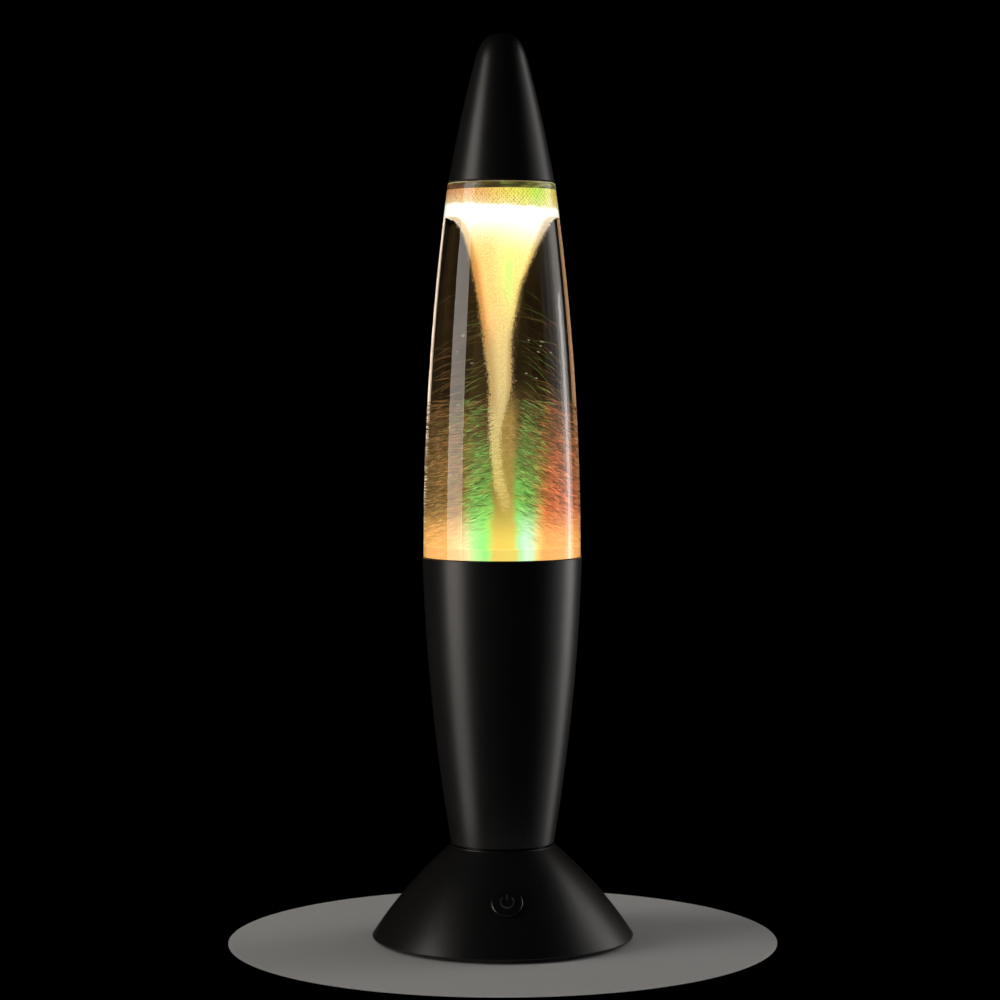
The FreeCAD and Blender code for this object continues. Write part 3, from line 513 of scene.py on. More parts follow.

# %% [markdown]
# The vessel's outline runs up the outside, over the neck and down the inside, and one `spin` turns it into
# a closed tube. The number of each stretch picks its finish: the cut end over the light ring, the thick
# shoulder with a painted reflection of the raft upside down, its rounded edge with a painted highlight,
# the wet side and the outside. Inner and outer wall come from the same arc, so the wall is equally thick
# all the way up.

# %% Vessel
VESSEL_WALL = 2.0 * MM
VESSEL_TOP_WALL = 1.6 * MM
VESSEL_TOP_RADIUS = 20.35 * MM
VESSEL_BULGE = 2.44 * MM
NECK_RADIUS = 8.0 * MM
NECK_BORE = 6.0 * MM
EDGE_ROUND = 0.35 * MM
EDGE_BOW = 0.2              # bulge of the rounded edge, as a share of EDGE_ROUND
BAND_HEIGHT = 2.3 * MM
vessel_low, vessel_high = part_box("vessel")
VESSEL_Z = vessel_low[2]
VESSEL_RADIUS = vessel_high[0]
SHOULDER_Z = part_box("cap_gasket")[0][2]
NECK_TOP_Z = vessel_high[2]
VESSEL_HEIGHT = SHOULDER_Z - VESSEL_Z


def vessel_radius(height, inset=0.0):
    """Radius of the vessel's outside at a height, drawn in by inset."""
    start = Vector((VESSEL_RADIUS, VESSEL_Z))
    end = Vector((VESSEL_TOP_RADIUS, SHOULDER_Z))
    along = (end - start).normalized()
    span = (end - start).length
    out = Vector((along.y, -along.x))
    radius = (span * span / 4 + VESSEL_BULGE ** 2) / (2 * VESSEL_BULGE)
    centre = (start + end) / 2 - out * (radius - VESSEL_BULGE)
    return centre.x + math.sqrt(radius ** 2 - (height - centre.y) ** 2) - inset


def wall_line(low, high, inset, steps):
    points = []
    for step in range(steps + 1):
        height = low + (high - low) * step / steps
        points.append(Vector((vessel_radius(height, inset), height)))
    return points


ceiling_z = SHOULDER_Z - VESSEL_TOP_WALL
edge_z = SHOULDER_Z - EDGE_ROUND
outside = wall_line(VESSEL_Z, edge_z - BAND_HEIGHT, 0, 58)
band_from = len(outside) - 1
outside += wall_line(edge_z - BAND_HEIGHT, edge_z, 0, 3)[1:]
edge_from = len(outside) - 1
outside += bowed(outside[-1], (VESSEL_TOP_RADIUS - EDGE_ROUND, SHOULDER_Z), EDGE_ROUND * EDGE_BOW, 4)[1:]
edge_to = len(outside) - 1
neck = [(NECK_RADIUS, SHOULDER_Z), (NECK_RADIUS, NECK_TOP_Z), (NECK_BORE, NECK_TOP_Z), (NECK_BORE, ceiling_z)]
inside = wall_line(VESSEL_Z, ceiling_z, VESSEL_WALL, 60)[::-1]
wet_from = len(outside) + 3
vessel_outline = outside + neck + inside
lit_stretch = len(vessel_outline) - 1


OUTSIDE, WET_SIDE, LIT_END, BAND, EDGE = range(5)       # places in VESSEL_FINISHES


def vessel_finish(index):
    if index == lit_stretch:
        return LIT_END
    if band_from <= index < edge_to:
        return BAND if index < edge_from else EDGE
    return WET_SIDE if index >= wet_from else OUTSIDE


vessel = spin("vessel_clear", vessel_outline, VESSEL_FINISHES, segments=256, finish_of=vessel_finish)
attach(vessel, "housing")
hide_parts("vessel")
print("vessel:", len(vessel.data.polygons), "faces,", round(VESSEL_HEIGHT / MM, 1), "mm tall")

# %% [markdown]
# The beads are foam balls about a millimetre across. They float in a raft under the vessel's shoulder, and
# the vortex pulls the middle of the raft down into a funnel with a thin, wandering tail. Lamps under the
# floor shine through the whole pile: it is dim and coloured at the top, white where it is thickest, cream
# further down, with an orange flank and a green patch. One formula, built up mask by mask, gives the
# funnel's light in every finish that needs it.

# %% Light in the beads
FUNNEL_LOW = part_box("bead_vortex")[0][2]
RAFT_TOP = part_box("bead_vortex")[1][2]
RAFT_GLARE_Z = 279.2 * MM   # above this the single beads show
LIGHT_Z = 150 * MM          # where the ramp below starts
LIGHT_SPAN = 140 * MM
BEAD_GLOW = 1.45
RAFT_GLOW = 1.2
GLOW_ONLY = {"Base Color": rgb(0.0, 0.0, 0.0), "Roughness": 1.0, "Specular IOR Level": 0.0}
DOWN_THE_FUNNEL = [(0.02, (0.74, 0.53, 0.12)), (0.13, (0.66, 0.49, 0.16)), (0.26, (0.58, 0.47, 0.17)),
                   (0.38, (0.54, 0.42, 0.18)), (0.51, (0.64, 0.47, 0.19)), (0.59, (0.72, 0.53, 0.20)),
                   (0.68, (0.79, 0.62, 0.20)), (0.756, (0.95, 0.73, 0.22)), (0.81, (1.0, 0.79, 0.27)),
                   (0.838, (1.0, 0.83, 0.40)), (0.864, (1.0, 0.90, 0.60)), (0.89, (1.0, 0.97, 0.82))]


def vortex_light(tree):
    x, y, z = axes(tree)
    radius = (x * x + y * y).math("SQRT") + 0.01 * MM
    side = x / radius
    light = ramp(tree, DOWN_THE_FUNNEL, (z + 0.35 * x.math("MAXIMUM", 0.0) - LIGHT_Z) / LIGHT_SPAN)
    left = x.rise(0.0, -4.5 * MM) * z.rise_mm(222, 236) * z.rise_mm(275, 260)
    light = mix(tree, left * 0.6, light, rgb(1.0, 0.48, 0.16))
    flank = side.rise(-0.72, -0.98) * z.rise_mm(216, 240) * z.rise_mm(268, 256)
    light = mix(tree, flank * 0.8, light, rgb(0.60, 0.19, 0.04))
    rim = side.math("ABSOLUTE").rise(0.86, 0.99) * z.rise_mm(212, 236) * z.rise_mm(280, 275)
    light = mix(tree, rim * 0.7, light, rgb(0.36, 0.20, 0.05))
    limb = side.math("ABSOLUTE").rise(0.30, 0.95) * z.rise_mm(198, 206) * z.rise_mm(240, 226)
    light = mix(tree, limb * 0.62, light, rgb(0.30, 0.18, 0.06))
    patch = x.rise_mm(-0.6, 1.4) * x.rise_mm(4.4, 2.6) * (0 - y).rise_mm(-1, 2)
    patch = patch * z.rise_mm(236, 254) * z.rise_mm(267, 256)
    return mix(tree, patch * 0.62, light, rgb(0.46, 0.90, 0.20))


# %% [markdown]
# The funnel's core, the beads on it and the loose shells take the funnel's light. The shells are clear
# except where a fine noise is high, and what is left looks like grains. The raft has a light of its own,
# from colours across it, and its core is dimmer, so that the gaps between its beads read as dots.

# %% Finishes of the beads
def bead_core(tree):
    grain = noise(tree, 0.6 * MM)
    light = vortex_light(tree)
    return {"Base Color": rgb(0.1, 0.09, 0.06), "Roughness": 0.7, "Emission Strength": BEAD_GLOW,
            "Emission Color": mix(tree, 0.12 * (0.8 - grain).clip(), light, rgb(0.40, 0.24, 0.07))}


def bead_skin(tree):
    tint = carried(tree, "tint")
    light = mix(tree, 0.07 * tint, vortex_light(tree), rgb(0.42, 0.24, 0.08))
    return {"Base Color": rgb(0.05, 0.045, 0.035), "Roughness": 0.6, "Emission Strength": BEAD_GLOW,
            "Emission Color": light}


ACROSS_THE_RAFT = [(0.05, (0.56, 0.24, 0.11)), (0.20, (0.74, 0.35, 0.13)), (0.36, (0.82, 0.47, 0.13)),
                   (0.52, (0.82, 0.65, 0.12)), (0.68, (0.74, 0.74, 0.10)), (0.79, (0.48, 0.76, 0.09)),
                   (0.89, (0.68, 0.68, 0.13)), (0.97, (0.66, 0.40, 0.11))]


def raft_light(tree, dark):
    """Salmon on the left, yellow in the middle, lime on the right, and white lower down."""
    x, y, z = axes(tree)
    turned = x + 2.5 * MM * (noise(tree, 6 * MM) - 0.5)
    hue = ramp(tree, ACROSS_THE_RAFT, (turned + RAFT_SPAN / 2) / RAFT_SPAN)
    wavy = z + 1.8 * MM * (noise(tree, 4 * MM) - 0.5) + 0.05 * x
    glare = wavy.rise(RAFT_GLARE_Z + 1.5 * MM, RAFT_GLARE_Z - 0.3 * MM)
    pale = mix(tree, wavy.rise(RAFT_TOP - 2 * MM, RAFT_GLARE_Z) * 0.5, hue, rgb(1.0, 0.90, 0.48))
    deep = mix(tree, dark, pale, rgb(0.20, 0.14, 0.035))
    return mix(tree, glare, deep, rgb(1.0, 1.0, 0.9))


def raft_skin(tree):
    tint = carried(tree, "tint")
    return {"Base Color": rgb(0.2, 0.19, 0.15), "Roughness": 0.4, "Emission Strength": RAFT_GLOW,
            "Emission Color": raft_light(tree, 0.15 * tint)}


def raft_core_finish(tree):
    return {"Base Color": rgb(0.05, 0.04, 0.03), "Roughness": 0.7, "Emission Strength": RAFT_GLOW,
            "Emission Color": raft_light(tree, 0.65)}


def loose_shell(few):
    """A layer of loose beads: grains with nothing between them. A higher few leaves fewer grains."""
    def maker(tree):
        x, y, z = axes(tree)
        grain = noise(tree, 0.62 * MM, detail=1.0)
        gather = 0.04 * x.rise_mm(1, 4) * z.rise_mm(198, 208)
        sparse = few - gather + 0.3 * z.rise_mm(272, 277)
        return {**GLOW_ONLY, "Emission Strength": 1.35, "Alpha": (grain - sparse).rise(0.0, 0.05),
                "Emission Color": mix(tree, 0.05, vortex_light(tree), rgb(0.45, 0.27, 0.08))}
    return maker


bead_core_finish = finish("bead_core", bead_core)
bead_finish = finish("foam_beads", bead_skin)
raft_bead_finish = finish("raft_beads", raft_skin)
raft_inner_finish = finish("raft_core", raft_core_finish)

# %% [markdown]
# A Geometry Nodes tree is built here like a shader: `geometry_tree` makes a group with named inputs, and
# `grow` puts it on a carrier object, sets the inputs by their identifiers, and keeps the result as a plain
# mesh. The random nodes take a fixed seed, so every run gives the same beads.

# %% Helpers for Geometry Nodes
def geometry_tree(name, sizes):
    """A geometry group with one input per named size, its Tree, and its input node's first socket."""
    group = bpy.data.node_groups.new(name, "GeometryNodeTree")
    group.interface.new_socket("Geometry", in_out="INPUT", socket_type="NodeSocketGeometry")
    for label, value in sizes.items():
        kind = "NodeSocketInt" if isinstance(value, int) else "NodeSocketFloat"
        group.interface.new_socket(label, in_out="INPUT", socket_type=kind)
    group.interface.new_socket("Geometry", in_out="OUTPUT", socket_type="NodeSocketGeometry")
    tree = Tree(group)
    return tree, tree.add("NodeGroupInput")


def chance(tree, low, high, seed):
    """A random number for each element, from low to high."""
    return tree.add("FunctionNodeRandomValue", {"data_type": "FLOAT"}, {2: low, 3: high, 8: seed}, output=1)


def spot(tree, x, y, z):
    return tree.add("ShaderNodeCombineXYZ", inputs={0: x, 1: y, 2: z})


def keep(tree, geometry, name, value, kind="FLOAT", domain="POINT"):
    """Stores a value on the geometry under a name that the material can read."""
    return tree.add("GeometryNodeStoreNamedAttribute", {"data_type": kind, "domain": domain},
                    {"Geometry": geometry, "Name": name, "Value": value})


def recall(tree, name, kind="FLOAT"):
    return tree.add("GeometryNodeInputNamedAttribute", {"data_type": kind}, {"Name": name})


def close_tree(tree, geometry, material):
    whole = tree.add("GeometryNodeRealizeInstances", inputs={"Geometry": geometry})
    smooth = tree.add("GeometryNodeSetShadeSmooth", inputs={0: whole})
    painted = tree.add("GeometryNodeSetMaterial", inputs={"Geometry": smooth, "Material": material})
    tree.add("NodeGroupOutput", inputs={0: painted})


def grow(name, tree, sizes, source=None):
    """Runs a tree on a carrier with the given sizes and returns the result as a plain mesh object."""
    mesh = source.data if source else bpy.data.meshes.new(name + "_seed")
    carrier = show(bpy.data.objects.new(name + "_carrier", mesh))
    modifier = carrier.modifiers.new("grow", "NODES")
    modifier.node_group = tree.tree
    for item in tree.tree.interface.items_tree:
        if item.in_out == "INPUT" and item.name in sizes:
            modifier[item.identifier] = sizes[item.name]
    graph = bpy.context.evaluated_depsgraph_get()
    made = bpy.data.meshes.new_from_object(carrier.evaluated_get(graph), preserve_all_data_layers=True,
                                           depsgraph=graph)
    carrier.modifiers.clear()
    bpy.data.objects.remove(carrier)
    print(name + ":", len(made.polygons), "faces")
    return add_piece(name, made, [])


def with_tint(tree, points, shape, low, high, seed, turned=(0, 0, 0)):
    """A copy of the shape on each point, with a random size and a random tint."""
    each = tree.add("GeometryNodeInstanceOnPoints",
                    inputs={"Points": points, "Instance": shape, "Rotation": turned,
                            "Scale": chance(tree, low, high, seed)})
    return keep(tree, each, "tint", chance(tree, 0.0, 1.0, seed + 1), domain="INSTANCE")


# %% [markdown]
# Against the wall the raft is packed closely: each row is shifted by half a bead, and the liquid's lift
# presses the rows and flattens the beads against the wall. Every bead's place follows from its number, so
# one Points node and a little arithmetic lay out the whole raft. The small gaps between the beads show the
# dim core behind them as dots. The radius comes from the same bow as the wall.

# %% Raft of beads
BEAD_SIZE = 1.12 * MM
FLATNESS = 0.35             # how much the wall presses a bead flat
STRAY_UP = 0.07 * MM        # how far a bead strays from its row
STRAY_IN = 0.06 * MM
STRAY_TURN = 0.008          # radians
RAFT_SIZES = {"Rows": 14, "Beads in Row": 84, "Bead Size": BEAD_SIZE, "Top": RAFT_TOP - BEAD_SIZE / 2,
              "Row Pitch": 0.80 * MM, "Clearance": 0.06 * MM}


def wall_at(height):
    """The vessel's outside radius at a height, as nodes: a parabola lies within a hair of the arc."""
    share = (height - VESSEL_Z) / VESSEL_HEIGHT
    straight = VESSEL_RADIUS + (VESSEL_TOP_RADIUS - VESSEL_RADIUS) * share
    return straight + 4 * VESSEL_BULGE * share * (1 - share)


tree, sizes = geometry_tree("bead_raft", RAFT_SIZES)
number = tree.add("GeometryNodeInputIndex")
in_row = sizes.other("Beads in Row")
row = (number / in_row).math("FLOOR")
turn = (number - row * in_row + 0.5 * row.math("MODULO", 2.0)) * (2 * math.pi) / in_row
height = sizes.other("Top") - row * sizes.other("Row Pitch") + chance(tree, -STRAY_UP, STRAY_UP, 11)
radius = wall_at(height) - VESSEL_WALL - FLATNESS * sizes.other("Bead Size") / 2 - sizes.other("Clearance")
radius = radius - chance(tree, 0.0, STRAY_IN, 12)
turn = turn + chance(tree, -STRAY_TURN, STRAY_TURN, 13)
where = spot(tree, radius * turn.math("COSINE"), radius * turn.math("SINE"), height)
points = tree.add("GeometryNodePoints", inputs={"Count": sizes.other("Rows") * in_row, "Position": where})
ball = tree.add("GeometryNodeMeshUVSphere",
                inputs={"Segments": 8, "Rings": 6, "Radius": sizes.other("Bead Size") / 2})
pressed = tree.add("GeometryNodeTransform", inputs={"Geometry": ball, "Scale": (FLATNESS, 1, 1)})
points = keep(tree, points, "turn", turn)
raft_balls = with_tint(tree, points, pressed, 0.97, 1.02, 14, spot(tree, 0.0, 0.0, recall(tree, "turn")))
close_tree(tree, raft_balls, raft_bead_finish)
raft = grow("bead_raft", tree, RAFT_SIZES)
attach(raft, "bead_swirl")

RAFT_LOW = RAFT_TOP - 10.8 * MM
CORE_TOP = RAFT_TOP - 0.5 * MM
CORE_INSET = VESSEL_WALL + 0.36 * MM
raft_outline = [(0, RAFT_LOW)] + wall_line(RAFT_LOW, CORE_TOP, CORE_INSET, 8) + [(0, CORE_TOP)]
raft_core = spin("bead_raft_core", raft_outline, [raft_inner_finish], closed=False)
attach(raft_core, "bead_swirl")

# %% [markdown]
# The funnel is a skin round a centre line that wanders a little. Its stations give height, how far the
# centre strays to the right and towards the back, and the radius. A smooth curve through the stations,
# the kind that passes through each of its points, fills in between them.

# %% Shape of the funnel
FUNNEL_STATIONS = [         # height, centre to the right, centre to the back and radius, in millimetres
    (152.6, 2.6, 0.4, 1.0), (158.0, 2.5, 0.6, 1.1), (163.0, 1.9, 0.6, 1.3), (169.0, 0.6, 0.2, 1.4),
    (175.0, -0.6, -0.3, 1.5), (182.0, -1.4, -0.7, 1.3), (190.0, -1.9, -0.6, 1.4), (197.5, -1.8, -0.2, 1.7),
    (204.5, -1.1, 0.2, 2.5), (212.0, -0.5, 0.3, 2.9), (225.0, -1.1, 0.2, 3.5), (231.0, -1.3, 0.1, 3.9),
    (240.0, -1.2, 0.0, 4.9), (249.5, -1.1, 0.0, 6.2), (259.0, -0.3, 0.0, 8.3), (264.0, 0.1, 0.0, 9.6),
    (269.0, 0.5, 0.0, 11.2), (273.2, 0.5, 0.0, 13.1), (275.2, 0.2, 0.0, 15.6), (276.4, 0.0, 0.0, 18.0)]


def station(height):
    """Centre and radius of the funnel at a height, on a smooth curve through the stations."""
    last = len(FUNNEL_STATIONS) - 1
    index = max(1, min(last, sum(1 for row in FUNNEL_STATIONS if row[0] * MM < height)))
    rows = [FUNNEL_STATIONS[max(0, min(last, index + shift))] for shift in (-2, -1, 0, 1)]
    share = (height / MM - rows[1][0]) / (rows[2][0] - rows[1][0])
    share = max(0.0, min(1.0, share))
    found = []
    for column in (1, 2, 3):
        before, start, end, after = [row[column] for row in rows]
        value = 2 * start + (end - before) * share
        value += (2 * before - 5 * start + 4 * end - after) * share ** 2
        value += (3 * start - before - 3 * end + after) * share ** 3
        found.append(value / 2 * MM)
    return Vector(found[:2]), found[2]


THINNEST = 0.3 * MM


def funnel_outline(low, high, steps, inset):
    points = [Vector((0, low))]
    for step in range(steps + 1):
        height = low + (high - low) * step / steps
        points.append(Vector((max(THINNEST, station(height)[1] - inset), height)))
    return points + [Vector((0, high))]


def funnel_middle(height):
    return station(height)[0]


# %% [markdown]
# The skin is the glowing core, and the same skin carries small beads, scattered by a tree and a little
# proud of it. Four loose shells outside it have holes cut by noise, so only grains are left of them. The
# further out a shell is, the fewer grains it has, and the funnel's edge is fuzzy instead of drawn.

# %% Funnel and tail
FUNNEL_TOP = FUNNEL_STATIONS[-1][0] * MM
TAIL_END = FUNNEL_STATIONS[0][0] * MM
WAIST = 212 * MM
FUNNEL_SEGMENTS = 72
funnel_core = spin("bead_funnel_core", funnel_outline(TAIL_END, FUNNEL_TOP, 180, 0.35 * MM),
                   [bead_core_finish], FUNNEL_SEGMENTS, centre_of=funnel_middle, closed=False)
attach(funnel_core, "bead_swirl")
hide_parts("bead_vortex")

SKIN_SIZES = {"Spacing": 0.60 * MM, "Bead Size": 0.62 * MM, "Proud": 0.34 * MM, "Seed": 7}


def scatter_tree():
    tree, sizes = geometry_tree("bead_skin", SKIN_SIZES)
    scatter = tree.add("GeometryNodeDistributePointsOnFaces", {"distribute_method": "POISSON"},
                       {"Mesh": sizes, "Distance Min": sizes.other("Spacing"), "Density Max": 8.0e6,
                        "Seed": sizes.other("Seed")})
    push = chance(tree, 0.0, 1.0, 21)
    proud = sizes.other("Proud") * (push * push * push * 3.6 - 0.4)
    away = tree.add("ShaderNodeVectorMath", {"operation": "SCALE"}, {0: scatter.other("Normal"), 3: proud})
    moved = tree.add("GeometryNodeSetPosition", inputs={"Geometry": scatter, "Offset": away})
    ball = tree.add("GeometryNodeMeshIcoSphere",
                    inputs={"Radius": sizes.other("Bead Size") / 2, "Subdivisions": 1})
    close_tree(tree, with_tint(tree, moved, ball, 0.62, 1.0, 22), bead_finish)
    return tree


skin_tree = scatter_tree()
for name, low, high in (("bead_funnel", WAIST, FUNNEL_TOP - 0.6 * MM), ("bead_tail", TAIL_END, WAIST)):
    skin = spin(name + "_skin", funnel_outline(low, high, 90, 0.25 * MM)[1:-1], [], FUNNEL_SEGMENTS,
                centre_of=funnel_middle, closed=False)
    beads = grow(name, skin_tree, SKIN_SIZES, skin)
    bpy.data.objects.remove(skin)
    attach(beads, "bead_swirl")

LOOSE_SHELLS = ((0.2 * MM, 0.50), (0.5 * MM, 0.57), (0.9 * MM, 0.64), (1.4 * MM, 0.70))
for number, (proud, few) in enumerate(LOOSE_SHELLS, 1):
    shell_line = funnel_outline(TAIL_END, FUNNEL_TOP - 0.8 * MM, 120, -proud)[1:-1]
    shell = spin("loose_shell_%d" % number, shell_line, [finish("loose_shell", loose_shell(few))],
                 FUNNEL_SEGMENTS, centre_of=funnel_middle, closed=False)
    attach(shell, "bead_swirl")

# %% [markdown]
# Low in the vessel the beads are flung out and down, faster than the eye follows, so each draws a short
# streak of light. It takes its colour from the light ring below it: green near the middle, red further
# out, and some the brown of the liquid. Slow noise dims whole patches, because the beads fly in swarms.

# %% Finishes of the streaks
def streak_light(tree):
    x, y, z = axes(tree)
    glow = carried(tree, "glow")
    tint = carried(tree, "tint")
    hue = ring_light(tree, tint, 6 * MM)
    earth = (tint + 0.3 * z.rise_mm(200, 225)).rise(0.58, 0.66) * z.rise_mm(160, 176)
    swarm = noise(tree, 5 * MM, stretch=(1, 1, 2.5)).rise(0.36, 0.60)
    hue = mix(tree, 0.85 * earth, hue, rgb(0.48, 0.20, 0.07))
    light = (glow * (0.35 + 0.75 * swarm) + 0.30 * z.rise_mm(166, 153)).clip()
    return {**GLOW_ONLY, "Roughness": 0.8, "Emission Strength": 1.75,
            "Emission Color": mix(tree, light, rgb(0.02, 0.014, 0.005), hue)}


def speck_light(tree):
    tint = carried(tree, "tint")
    return {"Base Color": rgb(0.3, 0.29, 0.26), "Roughness": 0.4, "Emission Strength": 0.22,
            "Emission Color": mix(tree, tint, rgb(1.0, 0.72, 0.55), rgb(0.9, 0.95, 0.75))}


streak_finish = finish("light_streaks", streak_light)
speck_finish = finish("loose_beads", speck_light)

# %% [markdown]
# A streak is a three-sided tube bent by arithmetic. The tree puts a unit tube on each of many points and
# remembers where each corner was along it. Then it works out the corner's final place from a start radius,
# a turn, a height, a heading and a length.

# %% Tree of the streaks
STREAK_SIZES = {"Count": 5000, "Inner": 3.6 * MM, "Outer": 22.5 * MM, "Core": 3.3 * MM, "Low": 152.8 * MM,
                "High": 207 * MM, "Crowding": 0.7, "Shortest": 2.2 * MM, "Longest": 7.0 * MM, "Drop": 0.28,
                "Heading": 0.55, "Thickness": 0.18 * MM, "Dimmest": 0.05, "Brightest": 1.0, "Fade": 0.75,
                "Blunt": 0.15, "Seed": 3}
STREAK_STEPS = 4
WALL_ROOM = 0.6 * MM        # from a streak to the wall
STREAK_FLOOR = FUNNEL_LOW + 0.2 * MM        # no streak reaches the impeller below the beads


def streak_tree(material):
    tree, sizes = geometry_tree("streaks", STREAK_SIZES)
    (count, inner, outer, core, low, high, crowding, shortest, longest, drop, veer, thickness, dimmest,
     brightest, fade, blunt, seed) = [sizes.other(name) for name in STREAK_SIZES]
    seed = seed * 20
    tube = tree.add("GeometryNodeMeshCylinder", {"fill_type": "NGON"},
                    {"Vertices": 3, "Side Segments": STREAK_STEPS, "Radius": 1.0, "Depth": 1.0})
    tube = keep(tree, tube, "corner", tree.add("GeometryNodeInputPosition"), "FLOAT_VECTOR")
    points = tree.add("GeometryNodePoints", inputs={"Count": count})
    rolls = {"start": (0.0, 1.0), "side": (-1.0, 1.0), "turn": (-1.0, 1.0), "fall": (0.0, 1.0),
             "reach": (0.0, 1.0), "aim": (0.1, 1.0), "tint": (0.0, 1.0), "shine": (0.0, 1.0)}
    for step, (name, (least, most)) in enumerate(rolls.items()):
        points = keep(tree, points, name, chance(tree, least, most, seed + step))
    each = tree.add("GeometryNodeInstanceOnPoints", inputs={"Points": points, "Instance": tube})
    whole = tree.add("GeometryNodeRealizeInstances", inputs={"Geometry": each})
    split = tree.add("ShaderNodeSeparateXYZ", inputs={0: recall(tree, "corner", "FLOAT_VECTOR")})
    along = split.other("Z") + 0.5
    taper = blunt + (1 - blunt) * (along * math.pi).math("SINE")
    start = (inner * inner + (outer * outer - inner * inner) * recall(tree, "start")).math("SQRT")
    first_turn = (core / start).math("ARCCOSINE") * recall(tree, "turn")
    heading = first_turn * (recall(tree, "aim") * veer - 1)
    path = (shortest + (longest - shortest) * recall(tree, "reach")) * along
    fall = 1 - (1 - recall(tree, "fall")).math("POWER", crowding)
    mirror = recall(tree, "side").math("SIGN")
    slope = drop * (1 + 0.3 * mirror) * (0.1 + 1.8 * recall(tree, "aim"))
    height = low + (high - low) * fall - slope * path * (0.5 + 0.8 * along)
    height = height.math("MAXIMUM", STREAK_FLOOR)
    room = wall_at(height) - VESSEL_WALL - WALL_ROOM
    radius = (start + path * heading.math("COSINE")).math("MINIMUM", room)
    turn = first_turn + path * heading.math("SINE") / radius
    wide = thickness * taper
    side, lift = split * wide * mirror, split.other("Y") * wide
    where = spot(tree, mirror * (radius * turn.math("COSINE") - side * (turn + heading).math("SINE")),
                 radius * turn.math("SINE") + side * (turn + heading).math("COSINE"), height + lift)
    bent = tree.add("GeometryNodeSetPosition", inputs={"Geometry": whole, "Position": where})
    glow = dimmest + (brightest - dimmest) * recall(tree, "shine").math("POWER", 1.5)
    glow = glow * (1.15 - fade * fall) * (0.5 + 0.5 * taper)
    close_tree(tree, keep(tree, bent, "glow", glow), material)
    return tree


# %% [markdown]
# Three sets of numbers make three pieces from the same tree: the dense short streaks, a few long faint
# ones higher up, and single beads that drift loose.

# %% Streaks and loose beads
streaks = grow("light_streaks", streak_tree(streak_finish), STREAK_SIZES)
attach(streaks, "bead_swirl")

LONG_SIZES = dict(STREAK_SIZES, Count=260, Low=192 * MM, High=254 * MM, Crowding=0.5, Shortest=5 * MM,
                  Longest=13 * MM, Outer=14 * MM, Drop=0.5, Thickness=0.09 * MM, Dimmest=0.02,
                  Brightest=0.55, Fade=0.8, Seed=5)
long_streaks = grow("long_streaks", streak_tree(streak_finish), LONG_SIZES)
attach(long_streaks, "bead_swirl")

SPECK_SIZES = dict(STREAK_SIZES, Count=60, Low=158 * MM, High=245 * MM, Crowding=0.6, Shortest=0.4 * MM,
                   Longest=1.1 * MM, Outer=16 * MM, Thickness=0.24 * MM, Blunt=0.45, Seed=9)
specks = grow("loose_beads", streak_tree(speck_finish), SPECK_SIZES)
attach(specks, "bead_swirl")

# %% [markdown]
# The liquid itself glows where the light ring shines into it. Four thin sheets, one inside the other,
# stand for that glow: each is dense and bright at the floor and thins out upwards, broken into level wisps
# by stretched noise. Five nested amber shells make the soft column that the tail winds round: rays through
# its middle cross all of them, and rays near its edge only the outer ones.

# %% Glow in the liquid
LIQUID_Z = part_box("water_fill")[0][2]


def glow_sheet(strength):
    def maker(tree):
        x, y, z = axes(tree)
        wisps = noise(tree, 3.0 * MM, detail=3.0, stretch=(1, 1, 5))
        clouds = noise(tree, 8 * MM)
        hue = mix(tree, z.rise_mm(198, 172), rgb(0.24, 0.15, 0.055), ring_light(tree, clouds, 5 * MM))
        low = z.rise_mm(172, 150.5)
        murk = z.rise_mm(212, 165)
        clear = z.rise_mm(206, 218) * z.rise_mm(266, 244) * x.rise_mm(-10, 4)
        alpha = low * (0.45 + 0.8 * wisps) + murk * 0.34 * wisps.rise(0.35, 0.65) + 0.03 - 0.017 * clear
        return {**GLOW_ONLY, "Emission Color": hue, "Emission Strength": 1.2,
                "Alpha": (strength * alpha).clip()}
    return maker


GLOW_SHEETS = ((0.9 * MM, 0.34), (6.0 * MM, 0.55), (11.5 * MM, 0.8), (17.0 * MM, 0.9))
GLOW_TOP = 272 * MM
for number, (inset, strength) in enumerate(GLOW_SHEETS, 1):
    sheet_line = wall_line(LIQUID_Z + 0.1 * MM, GLOW_TOP, VESSEL_WALL + inset, 30)
    sheet = spin("liquid_glow_%d" % number, sheet_line, [finish("liquid_glow", glow_sheet(strength))],
                 segments=128, closed=False)
    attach(sheet, "housing")
    if number == 1:
        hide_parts("water_fill")


def amber_column(cover):
    def maker(tree):
        x, y, z = axes(tree)
        wisps = noise(tree, 2.0 * MM, detail=3.0, stretch=(1, 1, 2.2)).rise(0.30, 0.70)
        low = z.rise_mm(174, 156)
        dark = mix(tree, low, rgb(0.32, 0.19, 0.04), rgb(0.70, 0.42, 0.07))
        bright = mix(tree, low, rgb(0.62, 0.42, 0.11), rgb(0.95, 0.64, 0.13))
        alpha = cover * z.rise_mm(212, 194) * (0.4 + 0.9 * wisps)
        return {**GLOW_ONLY, "Emission Color": mix(tree, wisps, dark, bright), "Emission Strength": 1.15,
                "Alpha": alpha.clip()}
    return maker


def column_middle(height):
    """The column leans to the right of the axis further up, and stands a little behind it."""
    return Vector((0.3 * MM + 0.028 * (height - 155 * MM), 1.2 * MM))


